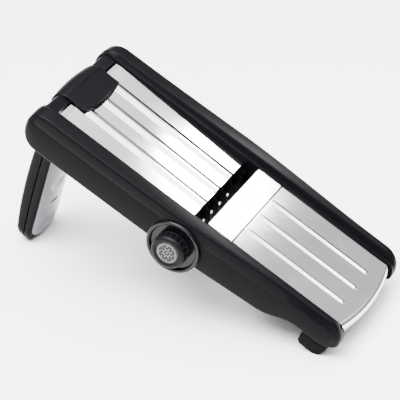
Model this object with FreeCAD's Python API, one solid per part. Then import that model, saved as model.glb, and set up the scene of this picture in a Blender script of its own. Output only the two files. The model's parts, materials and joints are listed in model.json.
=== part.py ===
import FreeCAD, Part
import math
import os

# Folding mandoline slicer.  Sizes are millimetres.
#
# Everything is drawn level first: x runs down the slicer from its upper end (the runway's edge is
# near x = 0) to the lip, y runs across it (the knob is on the -y side), and z = 0 is the top of the
# landing plate.  The last step tips the whole slicer by STAND_SLOPE, as it stands on its leg, and
# puts the origin at the middle of its footprint, on the table.

Vec = FreeCAD.Vector
AX = Vec(1, 0, 0)
AY = Vec(0, 1, 0)
AZ = Vec(0, 0, 1)

# ---- fits ---------------------------------------------------------------------------------------
FIT = 0.05                 # running fit of a shaft or pin, radial
GAP = 0.4                  # between parts that move past each other
SLIP = 0.1                 # between a part and the pocket it drops in

# ---- stance -------------------------------------------------------------------------------------
STAND_SLOPE = 27.3         # degrees that the slicer leans on its leg
GROUND_FLAT = 0.5          # depth of the flats worn by the table

# ---- lengths, from the upper end to the lip -------------------------------------------------------
RUNWAY_START = -2.4
RUNWAY_LENGTH = 165.4
SLICE_GAP = 17.0           # open slot from the runway's end to the cutting edge
BLADE_WIDTH = 28.6
SLIT = 1.6                 # between blade and landing plate
LANDING_LENGTH = 137.8     # slit to the fold of the lip, on the centre line
HEAD_LENGTH = 21.6         # rails past the runway's upper edge
NOSE_LENGTH = 4.5          # rails past the fold of the lip
RUNWAY_END = RUNWAY_START + RUNWAY_LENGTH
BLADE_EDGE = RUNWAY_END + SLICE_GAP
BLADE_BACK = BLADE_EDGE + BLADE_WIDTH
LANDING_START = BLADE_BACK + SLIT
LIP_CREASE = LANDING_START + LANDING_LENGTH
RAIL_START = RUNWAY_START - HEAD_LENGTH
RAIL_END = LIP_CREASE + NOSE_LENGTH

# ---- widths, from the middle out ------------------------------------------------------------------
RUNWAY_HALF = 58.5
SIDE_GAP = 1.0             # runway to the rails' inner walls
SIDE_STRIP = 2.5           # black strip beside the fixed steel
LEDGE_WIDTH = 3.5          # ledge beside the steel
LEDGE_STEP = 2.5           # slope from the ledge up to the top face
TOP_WIDTH = (17.0, 7.3)    # top face, upper half and nose
SIDE_BULGE = 1.2           # how far the side stands out past the top face's edge
NOSE_FLARE = 3.0           # how much further it stands out at the nose
SIDE_TUCK = 1.5            # how far the side's lower edge is drawn back in
INNER_WALL_Y = RUNWAY_HALF + SIDE_GAP
STEEL_HALF = INNER_WALL_Y - SIDE_STRIP
LEDGE_Y = INNER_WALL_Y + LEDGE_WIDTH
TOP_EDGE_Y = LEDGE_Y + LEDGE_STEP
TOP_OUTER_Y = (TOP_EDGE_Y + TOP_WIDTH[0], TOP_EDGE_Y + TOP_WIDTH[1])

# ---- rails --------------------------------------------------------------------------------------
RAIL_WALL = 3.0            # wall of the hollow rail
LEDGE_Z = 0.3              # top of the ledge
TOP_IN_Z = (4.4, 7.6)      # height of the top's inner edge, upper end and lower end
TOP_OUT_Z = (3.0, 9.2)     # height of the top's outer edge, upper end and lower end
RAIL_DEPTH = 40.0          # rail's lower edge below the landing plane, at the upper end
BELLY = (3.0, 230.0)       # rise of the lower edge, and the length it takes
TAIL_RISE = (3.5, 130.0)   # more rise past the blade's edge
UNDERCUT_RISE = 12.0       # step up behind the front feet
UNDERCUT = (RAIL_END - 85.0, RAIL_END - 47.0)
TAPER = (BLADE_EDGE - 40.0, RAIL_END - 27.0)   # the rails draw in between these
CREASE_SHARE = 0.69        # the side's crease, as a share of its height
UPPER_ROUND = 20.0         # length of the rounding at the upper end
NOSE_ROUND = 22.0          # length of the rounding at the nose
UPPER_DROPS = (15.0, 17.0, 22.0)   # fall of the top's two edges and rise of the bottom at the upper end
NOSE_DROPS = (19.0, 22.0, 9.0)     # the same at the nose
END_TUCK = 5.0             # how far the side is drawn in at either end
CHANNEL_START = RAIL_START + 12.0
CHANNEL_END = UNDERCUT[1] - 4.0
SHAFT_ROOM = 16.0          # solid rail kept each side of the shaft
TIE_ROD_R = 2.5
TIE_ROD_HALF = INNER_WALL_Y + 16.0
MID_ROD_X = 96.0
MID_ROD_Z = -21.0

# ---- steel --------------------------------------------------------------------------------------
SHEET = 1.2                # stainless sheet
RUNWAY_TOP = -1.5          # runway's top at its upper end
RUNWAY_REST_DROP = 5.6     # how much lower its slot end sits at rest
STRIP = 5.5                # bent strip at the runway's upper edge
STRIP_FALL = 0.5
NOTCH = 3.4                # depth of the notch that clears the leg's bar
RUNWAY_RIB_WIDTH = 12.0
RUNWAY_RIB_HEIGHT = 1.7
RUNWAY_RIB_PITCH = 28.8
RUNWAY_RIB_START = 12.4    # from the runway's upper edge
LANDING_RIB_PITCH = 28.8
LANDING_RIB_WIDTH = 6.0
LANDING_RIB_HEIGHT = 1.6
LANDING_RIB_END = LIP_CREASE - 15.0
BLADE_THICK = 1.5
BLADE_BEVEL = 4.0
LIP_RADIUS = 225.0         # plan radius of the curved lip
LIP_FOLD = 6.0             # rolling radius of the lip
LIP_DROP = 6.0             # straight part below the roll

# ---- what carries the steel ---------------------------------------------------------------------
SCREW_R = 1.5
SCREW_HEAD_R = 3.4
SCREW_HEAD = 1.8
HOLDER_START = BLADE_EDGE + 6.0
HOLDER_END = LANDING_START + 6.0
HOLDER_DEPTH = 8.0
HOLDER_SCREWS_Y = (14.0, 42.0)
SUPPORT_END = LIP_CREASE - 11.0
SUPPORT_DEPTH = 12.0
DECK = 3.0                 # thickness of its deck and webs
SUPPORT_SCREWS_X = (LANDING_START + 26.0, LIP_CREASE - 38.0)
SUPPORT_SCREWS_Y = STEEL_HALF - 11.0
BOSS_R = 4.0
FOOT_START = RAIL_END - 37.0
FOOT_END = RAIL_END - 7.0
FOOT_HEEL = -39.5
FOOT_TOE = -27.0
FOOT_Y = (INNER_WALL_Y + 3.0, INNER_WALL_Y + 13.0)

# ---- runway hinge and lift ----------------------------------------------------------------------
HINGE_X = 14.0
HINGE_Z = -8.0
HINGE_PIN_R = 2.5
HINGE_BOSS_R = 4.6
HINGE_BOSS_Y = INNER_WALL_Y - 7.0
HINGE_HOLE_Y = INNER_WALL_Y + 6.0
CARRIER_START = RUNWAY_START + 9.4
CARRIER_DEPTH = 8.0        # depth of the runway's plastic carrier
CARRIER_HALF = RUNWAY_HALF - 1.0
CARRIER_SCREWS_X = (34.0, 106.0)
CARRIER_SCREWS_Y = RUNWAY_HALF - 13.0
FIN_COUNT = 6
FIN_PITCH = 18.0
FIN_WIDTH = 2.6
FIN_REACH = 7.0
SHAFT_X = RUNWAY_END + 3.0
SHAFT_Z = -28.0
SHAFT_R = 4.0
BUSH_R = 6.5
BUSH_OUT_Y = INNER_WALL_Y + 14.0
SHAFT_FAR_Y = BUSH_OUT_Y - 0.5
CAM_MIN_R = 7.5
LIFT_ANGLE = 2.6           # degrees that the runway rises, from thickest cut to flush
KNOB_TRAVEL = 240.0        # degrees of knob that lift it so far
CAM_DWELL = 20.0           # degrees of constant radius past each end of the travel
CAM_WIDTH = 6.0
CAM_Y = INNER_WALL_Y - 5.2     # middle of each cam
CAM_GAP = 0.35             # follower to cam
FOLLOWER_R = 4.0
CLIP_Y = INNER_WALL_Y - 1.6
CLIP_THICK = 1.0

# ---- knob ---------------------------------------------------------------------------------------
BEZEL_R = 29.0
BEZEL_BACK_Y = TOP_OUTER_Y[0] - 7.0
BEZEL_FACE_Y = BEZEL_BACK_Y + 8.0
BEZEL_RIM = 3.0            # how far the rim ring stands past the bezel's face
BEZEL_RIM_WIDTH = 4.0
KNOB_R = 18.0
KNOB_BACK_Y = BEZEL_FACE_Y + 1.0
KNOB_FRONT_Y = KNOB_BACK_Y + 13.5
SHAFT_NEAR_Y = -KNOB_FRONT_Y + 5.5
DIAL_R = 12.4
DIAL_RECESS = 2.2
DIAL_THICK = 1.2
GRIP_COUNT = 20
DETENT_COUNT = 18
DETENT_R = 9.5
DETENT_Y = (-BEZEL_BACK_Y - 5.0, -BEZEL_BACK_Y - 1.0)   # wheel inside the bezel
DETENT_ROOM_R = 14.0
DETENT_ROOM_Y = DETENT_Y[0] - 1.0
LEAF_THICK = 0.8

# ---- end cap and leg ------------------------------------------------------------------------------
BAR_R = 10.5               # cross bar that the leg turns on
BAR_AHEAD = 6.6            # middle of the bar past the runway's upper edge
BAR_BELOW = 1.0            # top of the bar below the top of the runway
PIVOT_X = RUNWAY_START - BAR_AHEAD
PIVOT_Z = RUNWAY_TOP - BAR_BELOW - BAR_R
BARREL_WALL = 6.0
BARREL_R = BAR_R + BARREL_WALL     # outside of the leg's barrel
BARREL_HALF = 34.5
CROWN = 2.6                # how much the barrel and hook swell in the middle
CAP_OUTER_X = PIVOT_X - 12.0       # outer face of the end cap
CAP_INNER_X = RUNWAY_START - 2.5
CAP_BOTTOM = -36.0
CAP_ROUND = 11.0
LEG_DROP = 203.0           # leg tip below the landing plane
LEG_TIP_X = 21.5           # leg tip along the slicer
LEG_OUTER = (-17.5, 19.0, 18.0)    # back face: start past the pivot, straight and cubed run
LEG_INNER = (-2.4, 39.5)   # bright face: start past the pivot, and run
LEG_SEAM_SHARE = 0.56      # seam between the shells, from back to front
LEG_TOP_Z = -20.0
LEG_HALF = 29.5
LEG_CORNER = 17.0          # round corners of the leg's end
LEG_KEEP = 5               # points on each long edge of the leg's outline
LEG_WALL = 3.0
LEG_SCREW_PLACES = (84.0, 122.0, 168.0)
LEG_BULGE = 4.5            # crown of the bright inner face
GRIP_HALF = LEG_HALF - 2.6     # half width of the bright inner face
GRIP_SEAT = 1.6            # depth of its seat in the black shell
GRIP_TOP = 58.0            # its upper end, measured down the leg
GRIP_END = LEG_DROP - 5.0  # its lower end
GRIP_CORNER = 15.0
DIMPLE = (28.0, 15.0, 2.6)         # finger dimples: width, height and depth
DIMPLE_PLACES = (132.0, 184.0)
SLOT_PLACE = 156.0         # small hanging slot between them
SLOT_SIZE = (13.0, 3.2)
FOOT_LENGTH = 6.0          # rubber end of the leg
HOOK_REACH = RUNWAY_START + 21.6   # front edge of the hook on the centre line
HOOK_CORNER = RUNWAY_START + 16.7  # front edge of the hook at its corners
HOOK_SEAM_X = PIVOT_X + 3.0
HOOK_STEP = (RUNWAY_START - 0.6, RUNWAY_START + 2.4)   # the underside rises over the runway's edge
HOOK_UNDER_Z = RUNWAY_TOP + RUNWAY_RIB_HEIGHT + 0.7
HOOK_TOP_Z = PIVOT_Z + BARREL_R
HOOK_LIFT = 0.6            # hook's underside above the runway

nodes = {}


# ---- drawing helpers ----------------------------------------------------------------------------
def ease(t):
    t = min(max(t, 0.0), 1.0)
    return t * t * (3.0 - 2.0 * t)


def blend_between(pair, t):
    return pair[0] + (pair[1] - pair[0]) * ease(t)


def box(x0, x1, y0, y1, z0, z1):
    return Part.makeBox(x1 - x0, y1 - y0, z1 - z0, Vec(x0, y0, z0))


def rod_y(x, z, r, y0, y1):
    return Part.makeCylinder(r, y1 - y0, Vec(x, y0, z), AY)


def rod_z(x, y, r, z0, z1):
    return Part.makeCylinder(r, z1 - z0, Vec(x, y, z0), AZ)


def side_point(p, y=0.0):
    return Vec(p[0], y, p[1])


def spline(points):
    curve = Part.BSplineCurve()
    curve.interpolate(points)
    return curve.toShape()


def line(a, b):
    return Part.makeLine(a, b)


def across(edges, y0, y1):
    """Closed outline drawn in the x-z plane, extruded from y0 to y1."""
    wire = Part.Wire(Part.__sortEdges__(edges))
    solid = Part.Face(wire).extrude(AY * (y1 - y0))
    solid.translate(AY * y0)
    return solid


def polygon_across(points, y0, y1):
    ring = [side_point(p) for p in points]
    wire = Part.makePolygon(ring + [ring[0]])
    solid = Part.Face(wire).extrude(AY * (y1 - y0))
    solid.translate(AY * y0)
    return solid


def fused(shapes):
    whole = shapes[0]
    if len(shapes) > 1:
        whole = shapes[0].multiFuse(shapes[1:])
    return whole.removeSplitter()


def group(shapes):
    return Part.makeCompound(shapes)


def mirrored(shape):
    return shape.mirror(Vec(0, 0, 0), AY)


def bump(x0, x1, y, z, width, height):
    """Raised rib of circular-segment section with domed ends."""
    radius = (width * width / 4.0 + height * height) / (2.0 * height)
    centre = z + height - radius
    half = width / 2.0
    bar = Part.makeCylinder(radius, x1 - x0 - width, Vec(x0 + half, y, centre), AX)
    caps = [Part.makeSphere(radius, Vec(x, y, centre)) for x in (x0 + half, x1 - half)]
    keep = box(x0 - 1, x1 + 1, y - width, y + width, z, z + height + 1)
    return fused([bar] + caps).common(keep)


# ---- rails --------------------------------------------------------------------------------------
def rail_lower_edge(x):
    """Height of the rail's lower edge along its length."""
    rise = BELLY[0] * ease(x / BELLY[1])
    rise += TAIL_RISE[0] * ease((min(x, UNDERCUT[0]) - BLADE_EDGE) / TAIL_RISE[1])
    rise += UNDERCUT_RISE * ease((x - UNDERCUT[0]) / (UNDERCUT[1] - UNDERCUT[0]))
    return rise - RAIL_DEPTH


def end_drop(x):
    """0 along the rail, growing to 1 at either tip as a quarter circle does."""
    s = 0.0
    if x < RAIL_START + UPPER_ROUND:
        s = (RAIL_START + UPPER_ROUND - x) / UPPER_ROUND
    if x > RAIL_END - NOSE_ROUND:
        s = (x - RAIL_END + NOSE_ROUND) / NOSE_ROUND
    return 1.0 - math.sqrt(max(0.0, 1.0 - s * s))


def rail_section(x):
    """Corner points of the rail's section at x, from the inner top edge round the outside."""
    along = x / TAPER[1]
    taper = (x - TAPER[0]) / (TAPER[1] - TAPER[0])
    drop = end_drop(x)
    drops = UPPER_DROPS if x < BLADE_EDGE else NOSE_DROPS
    top_in = blend_between(TOP_IN_Z, along) - drop * drops[0]
    top_out = blend_between(TOP_OUT_Z, along) - drop * drops[1]
    bottom = rail_lower_edge(x) + drop * drops[2]
    top_y = blend_between(TOP_OUTER_Y, taper) - END_TUCK * drop
    side_y = top_y + SIDE_BULGE + NOSE_FLARE * ease(taper)
    crease = bottom + CREASE_SHARE * (top_out - bottom)
    ledge = min(LEDGE_Z, top_in - 1.0)
    return [
        Vec(x, TOP_EDGE_Y, top_in),
        Vec(x, top_y, top_out),
        Vec(x, side_y, crease),
        Vec(x, side_y - SIDE_TUCK, bottom),
        Vec(x, INNER_WALL_Y, bottom),
        Vec(x, INNER_WALL_Y, ledge),
        Vec(x, LEDGE_Y, ledge),
    ]


def rail_stations():
    """Places along the rail where its section is drawn, closer together at the rounded tips."""
    stations = []
    for i in range(7):
        stations.append(RAIL_START + UPPER_ROUND * (1.0 - math.cos(math.radians(15.0 * i))))
    x = RAIL_START + UPPER_ROUND + 16.0
    while x < RAIL_END - NOSE_ROUND - 8.0:
        stations.append(x)
        x += 19.0
    for i in range(7):
        stations.append(RAIL_END - NOSE_ROUND * (1.0 - math.sin(math.radians(15.0 * i))))
    return stations


def loft_sections(sections):
    wires = [Part.makePolygon(points + [points[0]]) for points in sections]
    return Part.makeLoft(wires, True, False)


def rail_channel(x0, x1):
    """Hollow inside the rail, open downwards."""
    sections = []
    steps = 8
    for i in range(steps + 1):
        x = x0 + (x1 - x0) * i / steps
        corner = rail_section(x)
        below = corner[3].z - 2.0
        outer = corner[3].y - RAIL_WALL
        inner = INNER_WALL_Y + RAIL_WALL
        shoulder = corner[2].z
        roof = min(corner[1].z, corner[0].z) - RAIL_WALL
        sections.append([
            Vec(x, inner, below),
            Vec(x, outer, below),
            Vec(x, outer, shoulder),
            Vec(x, corner[1].y - 2.0 * RAIL_WALL, roof),
            Vec(x, TOP_EDGE_Y + 1.0, roof),
            Vec(x, inner, LEDGE_Z - 2.0 * RAIL_WALL),
        ])
    return loft_sections(sections)


def rail(holes):
    body = loft_sections([rail_section(x) for x in rail_stations()])
    body = body.cut(rail_channel(CHANNEL_START, SHAFT_X - SHAFT_ROOM))
    body = body.cut(rail_channel(SHAFT_X + SHAFT_ROOM, CHANNEL_END))
    for hole in holes:
        body = body.cut(hole)
    return body


def make_rails():
    reach = TOP_OUTER_Y[0] + 20.0
    holes = [
        rod_y(HINGE_X, HINGE_Z, HINGE_PIN_R + FIT, INNER_WALL_Y - 1, HINGE_HOLE_Y),
        rod_y(SHAFT_X, SHAFT_Z, BUSH_R, INNER_WALL_Y - 1, BUSH_OUT_Y),
        rod_y(PIVOT_X, PIVOT_Z, TIE_ROD_R, 0, TIE_ROD_HALF),
        rod_y(MID_ROD_X, MID_ROD_Z, TIE_ROD_R, 0, TIE_ROD_HALF),
    ]
    seat = rod_y(SHAFT_X, SHAFT_Z, BEZEL_R + SLIP, BEZEL_BACK_Y, reach)
    nodes["far_side_rail"] = rail(holes)
    near_holes = [seat, rod_y(SHAFT_X, SHAFT_Z, BUSH_R, INNER_WALL_Y - 1, reach)]
    nodes["near_side_rail"] = mirrored(rail(holes + near_holes))


# ---- fixed cross members ------------------------------------------------------------------------
def make_end_cap():
    """Rounded block at the upper end; its middle is cut down to the bar that the leg turns on."""
    top = RUNWAY_TOP
    radius = CAP_ROUND
    centre = Vec(CAP_OUTER_X + radius, 0, top - radius)
    corner = centre + Vec(-radius, 0, radius) * math.sqrt(0.5)
    upper = Part.Arc(Vec(CAP_OUTER_X, 0, top - radius), corner, Vec(CAP_OUTER_X + radius, 0, top))
    low = Vec(CAP_OUTER_X + 5.0, 0, CAP_BOTTOM)
    edges = [
        upper.toShape(),
        line(Vec(CAP_OUTER_X + radius, 0, top), Vec(CAP_INNER_X, 0, top)),
        line(Vec(CAP_INNER_X, 0, top), Vec(CAP_INNER_X, 0, CAP_BOTTOM)),
        line(Vec(CAP_INNER_X, 0, CAP_BOTTOM), low),
        line(low, Vec(CAP_OUTER_X, 0, top - radius)),
    ]
    block = across(edges, -INNER_WALL_Y, INNER_WALL_Y)
    middle = BARREL_HALF + GAP
    block = block.cut(box(-60, 60, -middle, middle, -80, 40))
    bar = rod_y(PIVOT_X, PIVOT_Z, BAR_R, -middle, middle)
    cap = fused([block, bar])
    nodes["end_cap"] = cap.cut(rod_y(PIVOT_X, PIVOT_Z, TIE_ROD_R, -80, 80))


def make_tie_rods():
    rods = [
        rod_y(PIVOT_X, PIVOT_Z, TIE_ROD_R, -TIE_ROD_HALF, TIE_ROD_HALF),
        rod_y(MID_ROD_X, MID_ROD_Z, TIE_ROD_R, -TIE_ROD_HALF, TIE_ROD_HALF),
    ]
    nodes["tie_rods"] = group(rods)


# ---- blade and landing --------------------------------------------------------------------------
def make_blade():
    edge = [
        (BLADE_EDGE, 0.0),
        (BLADE_BACK, 0.0),
        (BLADE_BACK, -BLADE_THICK),
        (BLADE_EDGE + BLADE_BEVEL, -BLADE_THICK),
    ]
    nodes["straight_blade"] = polygon_across(edge, -STEEL_HALF, STEEL_HALF)


def holder_screw_places():
    return [(HOLDER_START + 9.0, side * y) for y in HOLDER_SCREWS_Y for side in (-1, 1)]


def make_blade_holder():
    """Black cross piece under the blade, tied to both rails."""
    outline = [
        (HOLDER_START, -BLADE_THICK),
        (BLADE_BACK, -BLADE_THICK),
        (BLADE_BACK, -SHEET),
        (HOLDER_END, -SHEET),
        (HOLDER_END, -HOLDER_DEPTH),
        (HOLDER_START + 6.0, -HOLDER_DEPTH),
    ]
    body = polygon_across(outline, -INNER_WALL_Y, INNER_WALL_Y)
    strips = []
    for side in (-1, 1):
        y0 = side * STEEL_HALF
        y1 = side * INNER_WALL_Y
        strips.append(box(BLADE_EDGE, HOLDER_END, min(y0, y1), max(y0, y1), -BLADE_THICK, LEDGE_Z))
        strips.append(box(BLADE_EDGE, HOLDER_START + 7.0, min(y0, y1), max(y0, y1), -5.0, -BLADE_THICK))
    body = fused([body] + strips)
    for x, y in holder_screw_places():
        body = body.cut(rod_z(x, y, SCREW_R, -20, -BLADE_THICK))
    nodes["blade_holder"] = body


def screw_up(x, y, head_z, tip_z):
    """Screw driven from below: a domed head with a cross recess, and its shank."""
    head = rod_z(x, y, SCREW_HEAD_R, head_z - SCREW_HEAD, head_z)
    head = head.makeFillet(0.9, [e for e in head.Edges if abs(e.CenterOfMass.z - head_z + SCREW_HEAD) < 0.01])
    shank = rod_z(x, y, SCREW_R, head_z - 0.5, tip_z)
    screw = fused([head, shank])
    bottom = head_z - SCREW_HEAD
    for long_side, short_side in ((1.9, 0.4), (0.4, 1.9)):
        screw = screw.cut(box(x - long_side, x + long_side, y - short_side, y + short_side,
                              bottom - 1, bottom + 1.0))
    return screw


def make_blade_screws():
    screws = [screw_up(x, y, -HOLDER_DEPTH, -BLADE_THICK) for x, y in holder_screw_places()]
    nodes["blade_screws"] = group(screws)


def landing_outline(front, half):
    """Plan outline from the slit to a curved front edge."""
    centre_x = front - LIP_RADIUS
    side_x = centre_x + math.sqrt(LIP_RADIUS * LIP_RADIUS - half * half)
    edges = [
        line(Vec(LANDING_START, -half, 0), Vec(side_x, -half, 0)),
        Part.Arc(Vec(side_x, -half, 0), Vec(front, 0, 0), Vec(side_x, half, 0)).toShape(),
        line(Vec(side_x, half, 0), Vec(LANDING_START, half, 0)),
        line(Vec(LANDING_START, half, 0), Vec(LANDING_START, -half, 0)),
    ]
    return Part.Face(Part.Wire(edges))


def make_landing_plate():
    """Flat plate with three pressed ribs and a curved lip rolled down at the front."""
    flat = landing_outline(LIP_CREASE, STEEL_HALF).extrude(AZ * -SHEET)
    centre_x = LIP_CREASE - LIP_RADIUS
    outer = LIP_FOLD
    inner = LIP_FOLD - SHEET
    root_half = math.sqrt(0.5)
    bend = Vec(LIP_CREASE, 0, -LIP_FOLD)
    profile = [
        line(bend + Vec(0, 0, inner), bend + Vec(0, 0, outer)),
        Part.Arc(bend + Vec(0, 0, outer), bend + Vec(root_half, 0, root_half) * outer,
                 bend + Vec(outer, 0, 0)).toShape(),
        line(bend + Vec(outer, 0, 0), bend + Vec(outer, 0, -LIP_DROP)),
        line(bend + Vec(outer, 0, -LIP_DROP), bend + Vec(inner, 0, -LIP_DROP)),
        line(bend + Vec(inner, 0, -LIP_DROP), bend + Vec(inner, 0, 0)),
        Part.Arc(bend + Vec(inner, 0, 0), bend + Vec(root_half, 0, root_half) * inner,
                 bend + Vec(0, 0, inner)).toShape(),
    ]
    face = Part.Face(Part.Wire(profile))
    spread = 20.0
    face.rotate(Vec(centre_x, 0, 0), AZ, -spread)
    lip = face.revolve(Vec(centre_x, 0, 0), AZ, 2.0 * spread)
    lip = lip.common(box(LIP_CREASE - 40, LIP_CREASE + 40, -STEEL_HALF, STEEL_HALF, -40, 10))
    plate = fused([flat, lip])
    ribs = []
    for i in (-1, 0, 1):
        ribs.append(bump(LANDING_START + 0.4, LANDING_RIB_END, i * LANDING_RIB_PITCH, -0.01,
                         LANDING_RIB_WIDTH, LANDING_RIB_HEIGHT))
    nodes["landing_plate"] = fused([plate] + ribs)


def support_screw_places():
    return [(x, side * SUPPORT_SCREWS_Y) for x in SUPPORT_SCREWS_X for side in (-1, 1)]


def make_landing_support():
    """Black moulded frame that carries the landing plate between the rails."""
    deck = box(HOLDER_END, SUPPORT_END, -INNER_WALL_Y, INNER_WALL_Y, -SHEET - DECK, -SHEET)
    pieces = [deck]
    for side in (-1, 1):
        y0 = side * STEEL_HALF
        y1 = side * INNER_WALL_Y
        pieces.append(box(HOLDER_END, SUPPORT_END, min(y0, y1), max(y0, y1), -SHEET, LEDGE_Z))
    for y in (-INNER_WALL_Y, -18.0, 15.0, INNER_WALL_Y - DECK):
        pieces.append(box(HOLDER_END, SUPPORT_END, y, y + DECK, -SUPPORT_DEPTH, -SHEET))
    for share in (0.0, 1.0 / 3.0, 2.0 / 3.0, 1.0):
        x = HOLDER_END + share * (SUPPORT_END - DECK - HOLDER_END)
        pieces.append(box(x, x + DECK, -INNER_WALL_Y, INNER_WALL_Y, -SUPPORT_DEPTH, -SHEET))
    for x, y in support_screw_places():
        pieces.append(rod_z(x, y, BOSS_R, -SUPPORT_DEPTH + DECK, -SHEET))
    body = fused(pieces)
    for x, y in support_screw_places():
        body = body.cut(rod_z(x, y, SCREW_R, -30, -SHEET))
    nodes["landing_support"] = body
    screws = [screw_up(x, y, -SUPPORT_DEPTH + DECK, -SHEET) for x, y in support_screw_places()]
    nodes["landing_screws"] = group(screws)


# ---- feet ---------------------------------------------------------------------------------------
def ground_cutter():
    """Everything below the table, in the level drawing frame."""
    slab = box(-600, 900, -400, 400, -400, 0)
    slab.rotate(Vec(0, 0, 0), AY, -STAND_SLOPE)
    slope = math.radians(STAND_SLOPE)
    level = -LEG_DROP * math.cos(slope) - LEG_TIP_X * math.sin(slope) + GROUND_FLAT
    slab.translate(Vec(-math.sin(slope), 0, math.cos(slope)) * level)
    return slab


def make_front_feet():
    """Soft feet under the noses, flat where they meet the table."""
    top = max(rail_lower_edge(FOOT_START), rail_lower_edge(FOOT_END)) + 4.0
    outline = [
        (FOOT_START, top),
        (FOOT_START + 1.5, FOOT_HEEL + 3.0),
        (FOOT_START + 4.5, FOOT_HEEL),
        (FOOT_END - 4.0, FOOT_HEEL),
        (FOOT_END, FOOT_TOE),
        (FOOT_END - 3.0, top),
    ]
    foot = polygon_across(outline, FOOT_Y[0], FOOT_Y[1])
    foot = foot.cut(ground_cutter())
    foot = foot.cut(loft_sections([rail_section(x) for x in rail_stations()]))
    feet = [max(foot.Solids, key=lambda s: s.Volume)]
    nodes["front_feet"] = group(feet + [mirrored(feet[0])])


# ---- runway -------------------------------------------------------------------------------------
RUNWAY_TILT = math.degrees(math.asin(RUNWAY_REST_DROP / (RUNWAY_END - RUNWAY_START)))


def tilted(shape):
    """Lay a runway piece, drawn level at z = 0, in its rest slope."""
    laid = shape.copy()
    laid.rotate(Vec(RUNWAY_START, 0, 0), AY, RUNWAY_TILT)
    laid.translate(AZ * RUNWAY_TOP)
    return laid


def make_runway_plate():
    """Steel runway with three broad pressed ribs, a turned-down upper strip and a notch for the leg."""
    outline = [
        (RUNWAY_START, -STRIP_FALL),
        (RUNWAY_START + STRIP, 0.0),
        (RUNWAY_END, 0.0),
        (RUNWAY_END, -SHEET),
        (RUNWAY_START + STRIP, -SHEET),
        (RUNWAY_START, -SHEET - STRIP_FALL),
    ]
    pieces = [polygon_across(outline, -RUNWAY_HALF, RUNWAY_HALF)]
    for i in (-1, 0, 1):
        rib = bump(RUNWAY_START + RUNWAY_RIB_START, RUNWAY_END + RUNWAY_RIB_WIDTH, i * RUNWAY_RIB_PITCH, -0.01,
                   RUNWAY_RIB_WIDTH, RUNWAY_RIB_HEIGHT)
        pieces.append(rib.common(box(0, RUNWAY_END, -90, 90, -5, 5)))
    half = BARREL_HALF + 2.0 * GAP
    notch = box(RUNWAY_START - 1.0, RUNWAY_START + NOTCH, -half, half, -5, 5)
    nodes["runway_plate"] = tilted(fused(pieces).cut(notch))


def guide_fin(y):
    """Rounded fin that leads the cut slice down into the slot."""
    x0 = RUNWAY_END
    start = Vec(x0, 0, -SHEET - 0.2)
    middle = Vec(x0 + FIN_REACH * 0.72, 0, -SHEET - 2.6)
    end = Vec(x0 + FIN_REACH, 0, -SHEET - CARRIER_DEPTH)
    back = Vec(x0 - 1.0, 0, -SHEET - CARRIER_DEPTH)
    top_back = Vec(x0 - 1.0, 0, -SHEET - 0.2)
    edges = [
        Part.Arc(start, middle, end).toShape(),
        line(end, back),
        line(back, top_back),
        line(top_back, start),
    ]
    return across(edges, y - FIN_WIDTH / 2.0, y + FIN_WIDTH / 2.0)


def carrier_screw_places():
    return [(x, side * CARRIER_SCREWS_Y) for x in CARRIER_SCREWS_X for side in (-1, 1)]


def make_runway_carrier():
    """Black tray under the runway, with hinge bosses, webs, cam arms and guide fins."""
    half = CARRIER_HALF
    x0 = CARRIER_START
    top = -SHEET
    low = -SHEET - CARRIER_DEPTH
    deck = box(x0, RUNWAY_END, -half, half, top - 2.2, top)
    pieces = [deck]
    for y in (-half, -22.0, 19.0, half - 3.0):
        pieces.append(box(x0, RUNWAY_END, y, y + 3.0, low, top))
    for x in (x0, 48.0, 86.0, 124.0, RUNWAY_END - 3.0):
        pieces.append(box(x, x + 3.0, -half, half, low, top))
    for i in range(FIN_COUNT):
        pieces.append(guide_fin((i - (FIN_COUNT - 1) / 2.0) * FIN_PITCH))
    for side in (-1, 1):
        y0 = side * CAM_Y - CAM_WIDTH / 2.0
        arm_end = FOLLOWER_LOCAL_X + FOLLOWER_R
        pieces.append(box(RUNWAY_END - 18.0, arm_end, y0, y0 + CAM_WIDTH, FOLLOWER_TOP, low + 5.0))
        boss_y = side * HINGE_BOSS_Y
        pieces.append(rod_y(HINGE_LOCAL_X, HINGE_LOCAL_Z, HINGE_BOSS_R, boss_y - 5.0, boss_y + 5.0))
    for x, y in carrier_screw_places():
        pieces.append(rod_z(x, y, BOSS_R, low + 2.0, top))
    body = fused(pieces)
    for x, y in carrier_screw_places():
        body = body.cut(rod_z(x, y, SCREW_R, -40, top))
    for side in (-1, 1):
        pin = rod_y(HINGE_LOCAL_X, HINGE_LOCAL_Z, HINGE_PIN_R, HINGE_BOSS_Y - 7.0, HINGE_HOLE_Y)
        body = body.cut(pin if side > 0 else mirrored(pin))
        body = body.cut(follower_pad(side))
    nodes["runway_carrier"] = tilted(body)
    screws = [screw_up(x, y, low + 2.0, top) for x, y in carrier_screw_places()]
    nodes["runway_screws"] = tilted(group(screws))


def make_hinge_pins():
    pin = rod_y(HINGE_LOCAL_X, HINGE_LOCAL_Z, HINGE_PIN_R, HINGE_BOSS_Y - 7.0, HINGE_HOLE_Y - 1.0)
    nodes["runway_hinge_pins"] = tilted(group([pin, mirrored(pin)]))


def untilted(x, z):
    """Place, in the runway's own level frame, of a point given in the slicer's frame."""
    tilt = math.radians(RUNWAY_TILT)
    dx = x - RUNWAY_START
    dz = z - RUNWAY_TOP
    return (RUNWAY_START + dx * math.cos(tilt) - dz * math.sin(tilt),
            dx * math.sin(tilt) + dz * math.cos(tilt))


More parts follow.
